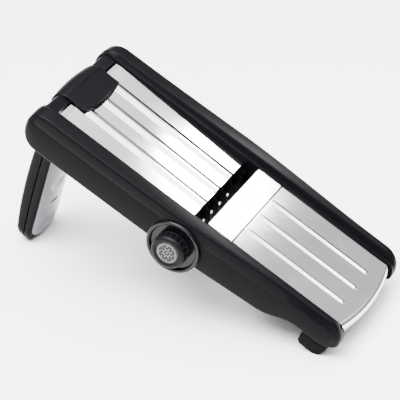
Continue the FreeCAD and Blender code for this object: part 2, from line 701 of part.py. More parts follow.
HINGE_LOCAL_X, HINGE_LOCAL_Z = untilted(HINGE_X, HINGE_Z)
FOLLOWER_CENTRE_Z = SHAFT_Z + CAM_MIN_R + CAM_GAP + FOLLOWER_R
FOLLOWER_LOCAL_X, FOLLOWER_LOCAL_Z = untilted(SHAFT_X, FOLLOWER_CENTRE_Z)
FOLLOWER_TOP = FOLLOWER_LOCAL_Z + 1.0


def follower_pad(side):
    """Nylon pad, round underneath, that rides on one cam."""
    y0 = side * CAM_Y - CAM_WIDTH / 2.0
    nose = rod_y(FOLLOWER_LOCAL_X, FOLLOWER_LOCAL_Z, FOLLOWER_R, y0, y0 + CAM_WIDTH)
    return nose.common(box(0, 400, -100, 100, -90, FOLLOWER_TOP))


def make_follower_pads():
    nodes["follower_pads"] = tilted(group([follower_pad(-1), follower_pad(1)]))


# ---- knob and lift shaft ------------------------------------------------------------------------
def cam_radius(angle):
    """Radius of the lift cam at an angle (degrees) turned back from its top at rest."""
    lift = (SHAFT_X - HINGE_X) * math.sin(math.radians(LIFT_ANGLE))
    high = CAM_MIN_R + lift
    if angle <= KNOB_TRAVEL:
        return CAM_MIN_R + lift * max(angle, 0.0) / KNOB_TRAVEL
    if angle <= KNOB_TRAVEL + CAM_DWELL:
        return high
    fall = 360.0 - KNOB_TRAVEL - 2.0 * CAM_DWELL
    return high - lift * ease((angle - KNOB_TRAVEL - CAM_DWELL) / fall)


def make_cams():
    cams = []
    for side in (-1, 1):
        points = []
        for i in range(60):
            angle = 6.0 * i
            turn = math.radians(angle)
            radius = cam_radius(angle)
            points.append(Vec(SHAFT_X - radius * math.sin(turn), 0, SHAFT_Z + radius * math.cos(turn)))
        curve = Part.BSplineCurve()
        curve.interpolate(points, PeriodicFlag=True)
        y0 = side * CAM_Y - CAM_WIDTH / 2.0
        cam = Part.Face(Part.Wire([curve.toShape()])).extrude(AY * CAM_WIDTH)
        cam.translate(AY * y0)
        cams.append(cam.cut(rod_y(SHAFT_X, SHAFT_Z, SHAFT_R, -KNOB_FRONT_Y, KNOB_FRONT_Y)))
    nodes["lift_cams"] = group(cams)


def make_shaft():
    shaft = rod_y(SHAFT_X, SHAFT_Z, SHAFT_R, SHAFT_NEAR_Y, SHAFT_FAR_Y)
    groove = rod_y(SHAFT_X, SHAFT_Z, SHAFT_R + 1, CLIP_Y, CLIP_Y + CLIP_THICK)
    groove = groove.cut(rod_y(SHAFT_X, SHAFT_Z, SHAFT_R - 1.0, CLIP_Y - 1, CLIP_Y + CLIP_THICK + 1))
    nodes["cam_shaft"] = shaft.cut(groove)
    clip = rod_y(SHAFT_X, SHAFT_Z, SHAFT_R + 3.0, CLIP_Y, CLIP_Y + CLIP_THICK)
    clip = clip.cut(rod_y(SHAFT_X, SHAFT_Z, SHAFT_R - 1.0, CLIP_Y - 1, CLIP_Y + CLIP_THICK + 1))
    mouth = box(SHAFT_X - 2.2, SHAFT_X + 2.2, CLIP_Y - 1, CLIP_Y + CLIP_THICK + 1,
                SHAFT_Z - SHAFT_R - 5, SHAFT_Z)
    nodes["shaft_clip"] = clip.cut(mouth)


def make_bushes():
    """Plain bearings for the shaft, one in each rail."""
    far = rod_y(SHAFT_X, SHAFT_Z, BUSH_R, INNER_WALL_Y, BUSH_OUT_Y)
    near = rod_y(SHAFT_X, SHAFT_Z, BUSH_R, -BEZEL_BACK_Y, -INNER_WALL_Y)
    bore = rod_y(SHAFT_X, SHAFT_Z, SHAFT_R + FIT, -KNOB_FRONT_Y, KNOB_FRONT_Y)
    nodes["shaft_bushes"] = group([far.cut(bore), near.cut(bore)])


def turned_y(profile, x, z):
    """Revolve (radius, y) points about the line along y through x, z."""
    ring = [Vec(x + r, y, z) for r, y in profile]
    face = Part.Face(Part.makePolygon(ring + [ring[0]]))
    return face.revolve(Vec(x, 0, z), AY, 360.0)


def make_bezel():
    """Round boss on the near rail, with a raised rim round the knob."""
    rim_in = BEZEL_R - BEZEL_RIM_WIDTH
    face = -BEZEL_FACE_Y
    profile = [
        (SHAFT_R + GAP, -BEZEL_BACK_Y),
        (BEZEL_R, -BEZEL_BACK_Y),
        (BEZEL_R, face - BEZEL_RIM + 1.2),
        (BEZEL_R - 1.2, face - BEZEL_RIM),
        (rim_in + 1.0, face - BEZEL_RIM),
        (rim_in, face - BEZEL_RIM + 1.0),
        (rim_in, face),
        (SHAFT_R + GAP, face),
    ]
    body = turned_y(profile, SHAFT_X, SHAFT_Z)
    room = rod_y(SHAFT_X, SHAFT_Z, DETENT_ROOM_R, DETENT_ROOM_Y, -BEZEL_BACK_Y)
    nodes["knob_bezel"] = body.cut(room)


def make_knob():
    """Round knob with a scalloped grip and a shallow recess for its dial."""
    front = -KNOB_FRONT_Y
    profile = [
        (0.0, -KNOB_BACK_Y),
        (KNOB_R + 0.6, -KNOB_BACK_Y),
        (KNOB_R, front + 5.0),
        (KNOB_R - 0.6, front + 2.4),
        (KNOB_R - 2.0, front + 0.7),
        (KNOB_R - 3.6, front),
        (DIAL_R + SLIP, front),
        (DIAL_R + SLIP, front + DIAL_RECESS),
        (0.0, front + DIAL_RECESS),
    ]
    body = turned_y(profile, SHAFT_X, SHAFT_Z)
    for i in range(GRIP_COUNT):
        angle = math.radians(360.0 * i / GRIP_COUNT)
        reach = KNOB_R + 1.5
        x = SHAFT_X + reach * math.sin(angle)
        z = SHAFT_Z + reach * math.cos(angle)
        body = body.cut(rod_y(x, z, 2.1, front + 4.2, -KNOB_BACK_Y + 1))
    body = body.cut(rod_y(SHAFT_X, SHAFT_Z, SHAFT_R, SHAFT_NEAR_Y, -60))
    nodes["knob"] = body
    dial_front = front + DIAL_RECESS - DIAL_THICK
    nodes["dial_insert"] = rod_y(SHAFT_X, SHAFT_Z, DIAL_R, dial_front, dial_front + DIAL_THICK)


def make_detent():
    """Notched wheel on the shaft and the leaf spring that clicks over it, inside the bezel."""
    wheel = rod_y(SHAFT_X, SHAFT_Z, DETENT_R, DETENT_Y[0], DETENT_Y[1])
    for i in range(DETENT_COUNT):
        angle = math.radians(360.0 * i / DETENT_COUNT)
        x = SHAFT_X + (DETENT_R + 0.5) * math.sin(angle)
        z = SHAFT_Z + (DETENT_R + 0.5) * math.cos(angle)
        wheel = wheel.cut(rod_y(x, z, 1.1, DETENT_Y[0] - 1, DETENT_Y[1] + 1))
    nodes["detent_wheel"] = wheel.cut(rod_y(SHAFT_X, SHAFT_Z, SHAFT_R, -KNOB_FRONT_Y, 0))
    near_z = SHAFT_Z + DETENT_R + GAP
    half = math.sqrt(DETENT_ROOM_R ** 2 - (DETENT_R + GAP + LEAF_THICK) ** 2)
    nodes["detent_spring"] = box(SHAFT_X - half, SHAFT_X + half, DETENT_Y[0] + 0.5, DETENT_Y[1] - 0.5,
                                 near_z, near_z + LEAF_THICK)


# ---- leg ----------------------------------------------------------------------------------------
def leg_outer_x(z):
    """Outer (back) face of the leg: it curves inwards towards the foot."""
    depth = -z / LEG_DROP
    return PIVOT_X + LEG_OUTER[0] + LEG_OUTER[1] * depth + LEG_OUTER[2] * depth ** 3


def leg_inner_x(z):
    """Edge between the black side and the bright inner face."""
    return PIVOT_X + LEG_INNER[0] - LEG_INNER[1] * z / LEG_DROP


def leg_seam_x(z):
    return leg_outer_x(z) + LEG_SEAM_SHARE * (leg_inner_x(z) - leg_outer_x(z))


def leg_side(curve, z0, z1):
    points = []
    for i in range(LEG_KEEP):
        z = z0 + (z1 - z0) * i / (LEG_KEEP - 1.0)
        points.append(Vec(curve(z), 0, z))
    return points


def leg_plan():
    """Leg seen square on: barrel width at the top, drawn in, rounded at the foot."""
    low = -LEG_DROP
    corner = LEG_CORNER
    half = LEG_HALF
    right = [
        Vec(0, BARREL_HALF, 20),
        Vec(0, BARREL_HALF, -30),
        Vec(0, half + 1.0, -62),
        Vec(0, half, -95),
        Vec(0, half, low + corner),
    ]
    edges = [line(right[0], right[1]), spline(right[1:4]), line(right[3], right[4])]
    root_half = math.sqrt(0.5)
    centre = Vec(0, half - corner, low + corner)
    edges.append(Part.Arc(right[4], centre + Vec(0, root_half, -root_half) * corner,
                          centre + Vec(0, 0, -corner)).toShape())
    left = [e.mirror(Vec(0, 0, 0), AY) for e in edges]
    edges.append(line(centre + Vec(0, 0, -corner), Vec(0, -centre.y, low)))
    edges.append(line(right[0], Vec(0, -BARREL_HALF, 20)))
    wire = Part.Wire(Part.__sortEdges__(edges + left))
    solid = Part.Face(wire).extrude(AX * 160)
    solid.translate(AX * -80)
    return solid


def leg_blank():
    """Shank of the leg before it is split, with softened long edges."""
    outer = leg_side(leg_outer_x, LEG_TOP_Z, -LEG_DROP + 8.0)
    inner = leg_side(leg_inner_x, -LEG_DROP + 6.0, LEG_TOP_Z)
    tip = Vec(LEG_TIP_X, 0, -LEG_DROP)
    edges = [
        spline(outer),
        spline([outer[-1], Vec(outer[-1].x + 2.6, 0, -LEG_DROP + 2.4), tip]),
        spline([tip, Vec(inner[0].x - 1.4, 0, -LEG_DROP + 2.0), inner[0]]),
        spline(inner),
        line(inner[-1], outer[0]),
    ]
    blank = across(edges, -BARREL_HALF - 2, BARREL_HALF + 2)
    return blank.common(leg_plan())


def barrel(radius, half, crown):
    """Crowned drum about the pivot line."""
    arc = Part.Arc(Vec(PIVOT_X, -half, PIVOT_Z + radius - crown), Vec(PIVOT_X, 0, PIVOT_Z + radius),
                   Vec(PIVOT_X, half, PIVOT_Z + radius - crown)).toShape()
    start = Vec(PIVOT_X, -half, PIVOT_Z)
    end = Vec(PIVOT_X, half, PIVOT_Z)
    edges = [arc, line(arc.Vertexes[-1].Point, end), line(end, start), line(start, arc.Vertexes[0].Point)]
    face = Part.Face(Part.Wire(Part.__sortEdges__(edges)))
    return face.revolve(Vec(PIVOT_X, 0, PIVOT_Z), AY, 360.0)


def hook_tongue():
    """Front of the hook: a crowned tongue over the runway's upper edge."""
    corner_y = BARREL_HALF
    tip = HOOK_REACH
    plan = [
        line(Vec(PIVOT_X, -corner_y, 0), Vec(HOOK_CORNER, -corner_y, 0)),
        Part.Arc(Vec(HOOK_CORNER, -corner_y, 0), Vec(tip, 0, 0), Vec(HOOK_CORNER, corner_y, 0)).toShape(),
        line(Vec(HOOK_CORNER, corner_y, 0), Vec(PIVOT_X, corner_y, 0)),
        line(Vec(PIVOT_X, corner_y, 0), Vec(PIVOT_X, -corner_y, 0)),
    ]
    block = Part.Face(Part.Wire(plan)).extrude(AZ * 40)
    block.translate(AZ * (HOOK_UNDER_Z - RUNWAY_RIB_HEIGHT))
    radius = (corner_y * corner_y + CROWN * CROWN) / (2.0 * CROWN)
    roof = Part.makeCylinder(radius, 80, Vec(PIVOT_X - 10, 0, HOOK_TOP_Z - radius), AX)
    roof.rotate(Vec(PIVOT_X, 0, HOOK_TOP_Z), AY, 2.2)
    return block.common(roof)


def leaning(shape):
    """Lay a piece drawn on the line x = 0 against the leg's inner face."""
    laid = shape.copy()
    lean = math.degrees(math.atan((leg_inner_x(-LEG_DROP) - leg_inner_x(0.0)) / LEG_DROP))
    laid.rotate(Vec(0, 0, 0), AY, -lean)
    laid.translate(AX * leg_inner_x(0.0))
    return laid


def grip_outline(half, top, low, corner):
    """Plan outline of the bright plate: square at the top, round at the foot."""
    root_half = math.sqrt(0.5)
    right = Vec(0, half - corner, low + corner)
    left = Vec(0, -half + corner, low + corner)
    edges = [
        line(Vec(0, -half, top), Vec(0, half, top)),
        line(Vec(0, half, top), Vec(0, half, low + corner)),
        Part.Arc(Vec(0, half, low + corner), right + Vec(0, root_half, -root_half) * corner,
                 Vec(0, half - corner, low)).toShape(),
        line(Vec(0, half - corner, low), Vec(0, -half + corner, low)),
        Part.Arc(Vec(0, -half + corner, low), left + Vec(0, -root_half, -root_half) * corner,
                 Vec(0, -half, low + corner)).toShape(),
        line(Vec(0, -half, low + corner), Vec(0, -half, top)),
    ]
    return Part.Face(Part.Wire(edges))


def grip_blank():
    face = grip_outline(GRIP_HALF, -GRIP_TOP, -GRIP_END, GRIP_CORNER)
    block = face.extrude(AX * 20)
    block.translate(AX * -GRIP_SEAT)
    radius = (GRIP_HALF ** 2 + LEG_BULGE ** 2) / (2.0 * LEG_BULGE)
    crown = Part.makeCylinder(radius, 300, Vec(LEG_BULGE - radius, 0, -280), AZ)
    return block.common(crown)


def make_grip_plate():
    """Bright inner face of the leg, crowned, with two finger dimples and a slot."""
    plate = grip_blank()
    plate = plate.makeFillet(1.2, [e for e in plate.Edges if min(v.X for v in e.Vertexes) > -GRIP_SEAT + 0.2])
    wide, tall, deep = DIMPLE
    for place in DIMPLE_PLACES:
        ball = Part.makeSphere(1.0)
        stretch = FreeCAD.Matrix()
        stretch.scale(deep * 1.6, wide / 2.0 * 1.28, tall / 2.0 * 1.28)
        dimple = ball.transformGeometry(stretch)
        dimple.translate(Vec(LEG_BULGE + deep * 0.6, 0, -place))
        plate = plate.cut(dimple)
    slot = box(0, 20, -SLOT_SIZE[0] / 2.0, SLOT_SIZE[0] / 2.0,
               -SLOT_PLACE - SLOT_SIZE[1] / 2.0, -SLOT_PLACE + SLOT_SIZE[1] / 2.0)
    nodes["leg_grip_plate"] = leaning(plate.cut(slot))


def leg_cavity():
    """Room inside the two shells, below the barrel and above the foot."""
    outer = [Vec(p.x + LEG_WALL, 0, p.z) for p in leg_side(leg_outer_x, -46.0, -LEG_DROP + 18.0)]
    inner = [Vec(p.x - LEG_WALL - GRIP_SEAT, 0, p.z)
             for p in leg_side(leg_inner_x, -LEG_DROP + 18.0, -46.0)]
    edges = [spline(outer), line(outer[-1], inner[0]), spline(inner), line(inner[-1], outer[0])]
    half = LEG_HALF - LEG_WALL
    return across(edges, -half, half)


def front_of_seam():
    """Space on the inner side of the seam between the leg's two shells."""
    top = PIVOT_Z - BAR_R
    seam = leg_side(leg_seam_x, top, -LEG_DROP - 2.0)
    far = 90.0
    edges = [
        spline(seam),
        line(seam[-1], Vec(far, 0, seam[-1].z)),
        line(Vec(far, 0, seam[-1].z), Vec(far, 0, top)),
        line(Vec(far, 0, top), seam[0]),
    ]
    return across(edges, -60, 60)


def make_leg():
    """Two black shells, the hook, the bright plate, a rubber foot and screws, all turning on the bar."""
    whole = fused([leg_blank(), barrel(BARREL_R, BARREL_HALF, CROWN), hook_tongue()])
    bore = rod_y(PIVOT_X, PIVOT_Z, BAR_R + GAP, -60, 60)
    under = RUNWAY_TOP + HOOK_LIFT
    mouth = polygon_across([
        (PIVOT_X, PIVOT_Z + 4.0),
        (HOOK_STEP[0], under - 1.0),
        (HOOK_STEP[1], under),
        (60, under),
        (60, -34.0),
        (PIVOT_X + 7.0, -34.0),
        (PIVOT_X + 2.0, PIVOT_Z - 12.0),
    ], -60, 60)
    whole = whole.cut(bore)
    whole = whole.cut(mouth)
    for i in (-1, 0, 1):
        groove = bump(-20, 60, i * RUNWAY_RIB_PITCH, RUNWAY_TOP - 1.0,
                      RUNWAY_RIB_WIDTH + 3.0, RUNWAY_RIB_HEIGHT + 1.8)
        whole = whole.cut(groove.common(box(HOOK_STEP[1], 60, -60, 60, -10, 20)))

    seat = leaning(grip_blank())
    foot_space = leaning(box(-80, 80, -60, 60, -LEG_DROP - 20.0, -LEG_DROP + 1.0 + FOOT_LENGTH / 2.0))
    hook_space = box(HOOK_SEAM_X, 80, -60, 60, PIVOT_Z, 40)
    front = front_of_seam()
    cavity = leg_cavity()

    posts = []
    holes = []
    screws = []
    for place in LEG_SCREW_PLACES:
        post = Part.makeCylinder(4.0, 24.0, Vec(-24.0, 0, -place), AX)
        posts.append(leaning(post))
        holes.append(leaning(Part.makeCylinder(SCREW_R, 15.5, Vec(-17.0, 0, -place), AX)))
        holes.append(leaning(Part.makeCylinder(SCREW_HEAD_R, 5.0, Vec(-GRIP_SEAT - SCREW_HEAD, 0, -place), AX)))
        shank = Part.makeCylinder(SCREW_R, 15.0, Vec(-17.0, 0, -place), AX)
        head = Part.makeCylinder(SCREW_HEAD_R, SCREW_HEAD, Vec(-GRIP_SEAT - SCREW_HEAD, 0, -place), AX)
        screws.append(leaning(fused([shank, head])))
    cavity = cavity.cut(fused(posts))

    hook = whole.common(hook_space)
    shank = whole.cut(hook_space).cut(seat).cut(cavity)
    for hole in holes:
        shank = shank.cut(hole)
    foot = shank.common(foot_space).cut(ground_cutter())
    shank = shank.cut(foot_space)
    nodes["hook"] = hook
    nodes["leg_outer_shell"] = shank.cut(front)
    nodes["leg_inner_shell"] = shank.common(front)
    nodes["leg_foot"] = foot
    nodes["leg_screws"] = group(screws)
    make_grip_plate()


# ---- standing it on the table -------------------------------------------------------------------
def stand_up():
    """Tip every piece by the standing slope and put the origin under the middle, on the table."""
    standing = {}
    for name, shape in nodes.items():
        standing[name] = shape.copy()
        standing[name].rotate(Vec(0, 0, 0), AY, STAND_SLOPE)
    boxes = [shape.optimalBoundingBox(False) for shape in standing.values()]
    shift = Vec(
        -(min(b.XMin for b in boxes) + max(b.XMax for b in boxes)) / 2.0,
        -(min(b.YMin for b in boxes) + max(b.YMax for b in boxes)) / 2.0,
        -min(b.ZMin for b in boxes),
    )
    for shape in standing.values():
        shape.translate(shift)
    turn = FreeCAD.Rotation(AY, STAND_SLOPE)
    for label, place in (("leg pivot", Vec(PIVOT_X, 0, PIVOT_Z)), ("runway hinge", Vec(HINGE_X, 0, HINGE_Z)),
                         ("lift shaft", Vec(SHAFT_X, 0, SHAFT_Z)), ("drawing origin", Vec(0, 0, 0))):
        print(label, turn.multVec(place) + shift)
    return standing


def main():
    make_rails()
    make_end_cap()
    make_tie_rods()
    make_blade()
    make_blade_holder()
    make_blade_screws()
    make_landing_plate()
    make_landing_support()
    make_front_feet()
    make_runway_plate()
    make_runway_carrier()
    make_hinge_pins()
    make_follower_pads()
    make_cams()
    make_shaft()
    make_bushes()
    make_bezel()
    make_knob()
    make_detent()
    make_leg()
    os.makedirs("parts", exist_ok=True)
    for name, shape in stand_up().items():
        shape.exportStep("parts/" + name + ".step")
        print(name, shape.isValid(), len(shape.Solids), round(shape.Volume))


main()
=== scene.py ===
import json
import math

import bmesh
import bpy
from mathutils import Matrix, Vector


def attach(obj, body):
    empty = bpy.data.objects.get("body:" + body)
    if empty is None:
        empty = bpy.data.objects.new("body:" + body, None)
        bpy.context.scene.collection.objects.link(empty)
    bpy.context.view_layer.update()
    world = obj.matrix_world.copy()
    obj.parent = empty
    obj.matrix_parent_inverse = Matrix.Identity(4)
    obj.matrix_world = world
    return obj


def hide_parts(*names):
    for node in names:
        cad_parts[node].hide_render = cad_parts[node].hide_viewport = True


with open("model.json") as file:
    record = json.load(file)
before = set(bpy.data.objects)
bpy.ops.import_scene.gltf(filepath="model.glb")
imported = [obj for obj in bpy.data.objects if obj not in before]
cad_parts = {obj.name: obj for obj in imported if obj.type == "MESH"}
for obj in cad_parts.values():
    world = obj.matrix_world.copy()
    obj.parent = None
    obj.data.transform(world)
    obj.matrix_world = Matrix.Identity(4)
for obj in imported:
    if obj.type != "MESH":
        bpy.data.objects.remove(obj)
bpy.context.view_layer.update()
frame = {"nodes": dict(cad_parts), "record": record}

# A folding mandoline slicer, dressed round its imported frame.
#
# Shapes are drawn level, in millimetres: x runs down the slicer from the leg end to the lip, y runs
# across it (knob on the -y side) and z = 0 is the top of the landing plate.  STAND takes a level
# point to its place in the frame, in metres, with the slicer standing on its leg.

# ---- shared sizes, millimetres --------------------------------------------------------------------
SHEET = 1.2                    # stainless sheet
RUNWAY = (-2.4, 163.0)         # its upper edge and its slot end
RUNWAY_HALF, RUNWAY_TOP, RUNWAY_DROP = 58.5, -1.5, 5.6
STRIP, STRIP_FALL = 5.5, 0.5   # bent strip at its upper edge
NOTCH, NOTCH_GAP = 3.4, 0.8    # notch in that edge, and its room beside the leg's barrel
RIB_PITCH = 28.8
RUNWAY_RIB = {"width": 13.0, "height": 1.65, "slope": 0.8, "start": 12.4}
LANDING_RIB = {"width": 6.4, "height": 1.0, "slope": 0.85, "start": 0.8}
STEEL_HALF = 57.0
BLADE_EDGE, BLADE_BACK, BLADE_THICK = 180.0, 208.6, 1.5
LANDING_START = 210.2
LIP_CREASE, LIP_RADIUS, LIP_FOLD, LIP_DROP = 348.0, 225.0, 6.0, 6.0
LANDING_RIB_END = 333.0
FIN_COUNT, FIN_PITCH, FIN_WIDTH = 6, 18.0, 2.6
FIN_TOP, FIN_BOTTOM = -9.4, -37.5

PIVOT = (-9.0, -13.0)          # leg pivot, x and z
HINGE = (14.0, -8.0)           # runway hinge
SHAFT = (166.0, -28.0)         # knob and cam shaft

RAIL_START, RAIL_END = -24.0, 352.5
INNER_WALL, LEDGE_Y, TOP_EDGE = 59.5, 63.0, 65.5
TOP_OUTER = (82.5, 72.8)       # top face's outer edge, upper half and nose
SIDE_BULGE, NOSE_FLARE, SIDE_TUCK = 1.2, 3.0, 1.5
LEDGE_Z = 0.3
TOP_IN, TOP_OUT = (4.4, 7.6), (3.0, 9.2)   # heights of the top's two edges, upper end and lower end
RAIL_DEPTH = 40.0
BELLY, TAIL_RISE, UNDERCUT_RISE = (3.0, 230.0), (3.5, 130.0), 12.0
UNDERCUT = (RAIL_END - 85.0, RAIL_END - 47.0)
TAPER = (BLADE_EDGE - 40.0, RAIL_END - 27.0)
CREASE_SHARE = 0.69            # the side's crease, as a share of its height
CREASE_DEPTH = 0.35
UPPER_ROUND, NOSE_ROUND = 20.0, 22.0
UPPER_DROPS, NOSE_DROPS, END_TUCK = (15.0, 17.0, 22.0), (19.0, 22.0, 9.0), 5.0
RAIL_WALL, SHAFT_ROOM = 3.0, 16.0
CHANNEL = (RAIL_START + 12.0, UNDERCUT[1] - 4.0)

BEZEL_R, BEZEL_BACK, BEZEL_FACE, BEZEL_RIM = 29.0, 75.5, 83.5, 3.0
BEZEL_RIM_WIDTH, BEZEL_HOLE = 4.0, 4.5
KNOB_R, KNOB_BACK, KNOB_FRONT = 18.0, 84.5, 98.0
KNOB_RIM_ROUND = 3.6
DIAL_R, DIAL_FACE, DIAL_RECESS = 12.4, 97.0, 2.2
INK_DEPTH = 0.1
CENTRE_R = 0.01                # innermost ring of a turned face

BAR_R, BARREL_R, BARREL_HALF, LEG_HALF = 10.5, 16.5, 34.5, 29.5
BORE_GAP = 0.4
LEG_DROP, LEG_CORNER = 203.0, 17.0
LEG_OUTER, LEG_INNER = (-26.5, 19.0, 18.0), (-11.4, 39.5)
LEG_SEAM_SHARE = 0.56
FOOT_LINE = -198.4             # joint between the leg and its rubber foot
HOOK_REACH, HOOK_CORNER, HOOK_LIFT = 19.2, 14.3, 0.6
HOOK_SLOPE = 2.2               # degrees that its top falls towards its front edge
CAP_OUTER, CAP_INNER, CAP_LOW_X, CAP_BOTTOM, CAP_ROUND = -21.0, -4.9, -16.0, -36.0, 11.0
GRIP_HALF, GRIP_TOP, GRIP_END, GRIP_CORNER = 26.9, 58.0, 198.0, 15.0
GRIP_BULGE, GRIP_SEAT = 4.5, 1.5
DIMPLES, DIMPLE_HALF, DIMPLE_DEPTH = (132.0, 184.0), (14.0, 7.5), 2.4

JOINTS = {j["name"]: j for j in frame["record"]["behaviour"]["joints"]}


def standing():
    """The move from the level drawing to the frame, worked out from two of its joints."""
    hinge = Vector(JOINTS["runway_lift"]["pos_m"])
    shaft = Vector(JOINTS["knob_turn"]["pos_m"])
    level = math.atan2(SHAFT[1] - HINGE[1], SHAFT[0] - HINGE[0])
    real = math.atan2(shaft.z - hinge.z, shaft.x - hinge.x)
    turn = Matrix.Rotation(level - real, 4, "Y")
    corner = hinge - turn @ Vector((HINGE[0], 0.0, HINGE[1])) / 1000.0
    return Matrix.Translation(corner) @ turn @ Matrix.Scale(0.001, 4), level - real


STAND, SLOPE = standing()
RUNWAY_TILT = math.asin(RUNWAY_DROP / (RUNWAY[1] - RUNWAY[0]))
ON_RUNWAY = (STAND @ Matrix.Translation((RUNWAY[0], 0, RUNWAY_TOP))
             @ Matrix.Rotation(RUNWAY_TILT, 4, "Y") @ Matrix.Translation((-RUNWAY[0], 0, 0)))


# ---- small helpers --------------------------------------------------------------------------------
def ease(t):
    t = min(max(t, 0.0), 1.0)
    return t * t * (3.0 - 2.0 * t)


def mix(a, b, t):
    return a + (b - a) * t


def rgb(code):
    """sRGB hex colour to the linear values that shaders take."""
    parts = [int(code[i:i + 2], 16) / 255.0 for i in (1, 3, 5)]
    return tuple(c / 12.92 if c <= 0.04045 else ((c + 0.055) / 1.055) ** 2.4 for c in parts) + (1.0,)


def add(tree, kind, inputs=None, **settings):
    """One node in a tree: its settings, then its inputs, each a value or another node's socket."""
    made = tree.nodes.new(kind)
    for key, value in settings.items():
        setattr(made, key, value)
    for key, value in (inputs or {}).items():
        if isinstance(value, bpy.types.NodeSocket):
            tree.links.new(value, made.inputs[key])
        else:
            made.inputs[key].default_value = value
    return made


# ---- materials ------------------------------------------------------------------------------------
def level_space(tree, stretch=(1.0, 1.0, 1.0)):
    """Object coordinates turned to lie along the slicer, then stretched."""
    where = add(tree, "ShaderNodeTexCoord")
    level = add(tree, "ShaderNodeMapping", {"Vector": where.outputs["Object"],
                                            "Rotation": (0.0, -SLOPE, 0.0)})
    return add(tree, "ShaderNodeMapping", {"Vector": level.outputs[0], "Scale": stretch}).outputs[0]


def ramp(tree, value, low, high, dark, light):
    """Colour or grey between two stops."""
    made = add(tree, "ShaderNodeValToRGB", {"Fac": value})
    made.color_ramp.elements[0].position = low
    made.color_ramp.elements[0].color = dark
    made.color_ramp.elements[1].position = high
    made.color_ramp.elements[1].color = light
    return made.outputs["Color"]


def grey(v):
    """Opaque grey of one level."""
    return (v, v, v, 1.0)


PLASTIC_IOR = 1.5


def finish_of(name, base, roughness, spread, grain_mm, bump_um, metallic=0.0, stretch=(1, 1, 1),
              tint=0.06, mottle_mm=30.0, specular=0.5):
    """Moulded or rolled surface: fine grain in roughness and height, slow mottling in colour."""
    made = bpy.data.materials.new(name)
    made.use_nodes = True
    tree = made.node_tree
    shader = tree.nodes["Principled BSDF"]
    shader.inputs["Metallic"].default_value = metallic
    if not metallic:
        shader.inputs["IOR"].default_value = PLASTIC_IOR
        shader.inputs["Specular IOR Level"].default_value = specular
    fine = add(tree, "ShaderNodeTexNoise", {"Vector": level_space(tree, stretch), "Scale": 1000.0 / grain_mm,
                                            "Detail": 3.0, "Roughness": 0.6})
    slow = add(tree, "ShaderNodeTexNoise", {"Vector": level_space(tree), "Scale": 1000.0 / mottle_mm,
                                            "Detail": 2.0})
    colour = rgb(base)
    dark = tuple(c * (1.0 - tint) for c in colour[:3]) + (1.0,)
    light = tuple(min(1.0, c * (1.0 + tint)) for c in colour[:3]) + (1.0,)
    tree.links.new(ramp(tree, slow.outputs["Fac"], 0.35, 0.65, dark, light), shader.inputs["Base Color"])
    both = add(tree, "ShaderNodeMath", {0: fine.outputs["Fac"], 1: slow.outputs["Fac"]}, operation="ADD")
    half = add(tree, "ShaderNodeMath", {0: both.outputs[0], 1: 0.5}, operation="MULTIPLY")
    rough = ramp(tree, half.outputs[0], 0.3, 0.7, grey(roughness - spread), grey(roughness + spread))
    tree.links.new(rough, shader.inputs["Roughness"])
    height = add(tree, "ShaderNodeBump", {"Height": fine.outputs["Fac"], "Distance": bump_um * 1e-6,
                                          "Strength": 1.0})
    tree.links.new(height.outputs["Normal"], shader.inputs["Normal"])
    return made


def abs_black():
    """ABS, injection moulded in a spark-eroded tool: deep black, with broad satin highlights."""
    return finish_of("abs_moulded_black_satin", "#060608", 0.34, 0.05, 0.9, 14.0, specular=0.04)


def abs_gloss():
    """ABS from a polished tool: near black, with sharp highlights on the rim."""
    return finish_of("abs_moulded_black_gloss", "#08080a", 0.14, 0.03, 2.5, 2.0, specular=0.2)


def tpe_black():
    """Soft thermoplastic elastomer over the knob: dark and dull, highlights spread wide."""
    return finish_of("tpe_overmoulded_soft_black", "#08080a", 0.4, 0.06, 0.7, 12.0, specular=0.08)


def rubber_black():
    """Vulcanised rubber feet: matte, slightly dusty."""
    return finish_of("rubber_matte_black", "#09090a", 0.75, 0.06, 0.8, 25.0, specular=0.05)


def steel_polished():
    """Stainless steel sheet, rolled and buffed along its length: mirror bright with faint drawn lines."""
    return finish_of("stainless_sheet_buffed", "#e9e9ec", 0.13, 0.035, 0.8, 0.25, metallic=1.0,
                     stretch=(0.03, 1.0, 1.0), tint=0.015, mottle_mm=60.0)


def steel_ground():
    """Hardened stainless blade, ground across its width."""
    return finish_of("stainless_blade_ground", "#ececef", 0.2, 0.04, 0.6, 0.3, metallic=1.0,
                     stretch=(1.0, 0.04, 1.0), tint=0.015, mottle_mm=60.0)


def steel_plain():
    """Drawn stainless rod and screws: soft grey shine."""
    return finish_of("stainless_drawn_plain", "#c9c9cc", 0.3, 0.06, 0.5, 1.0, metallic=1.0)


def steel_blackened():
    """Black-oxide steel shaft: dark, oily, with a soft grey shine."""
    return finish_of("steel_black_oxide", "#1c1c1f", 0.38, 0.05, 0.6, 2.0, metallic=1.0)


def silver_satin():
    """Zinc casting with dark satin nickel plating: smooth, grey, with softly blurred reflections."""
    return finish_of("nickel_satin_plated", "#7c7d81", 0.3, 0.04, 0.5, 1.0, metallic=1.0, tint=0.02)


def nylon_black():
    """Moulded black nylon: near black, waxy."""
    return finish_of("nylon_moulded_black", "#060607", 0.42, 0.06, 0.8, 8.0, specular=0.03)


def print_white():
    """Pad-printed white ink on the dial."""
    return finish_of("ink_pad_printed_white", "#8c8c8c", 0.55, 0.05, 0.3, 3.0)


def floor_white():
    """Painted board under the slicer."""
    return finish_of("board_painted_white", "#fbfbfb", 0.85, 0.05, 3.0, 10.0, tint=0.004, mottle_mm=200.0)


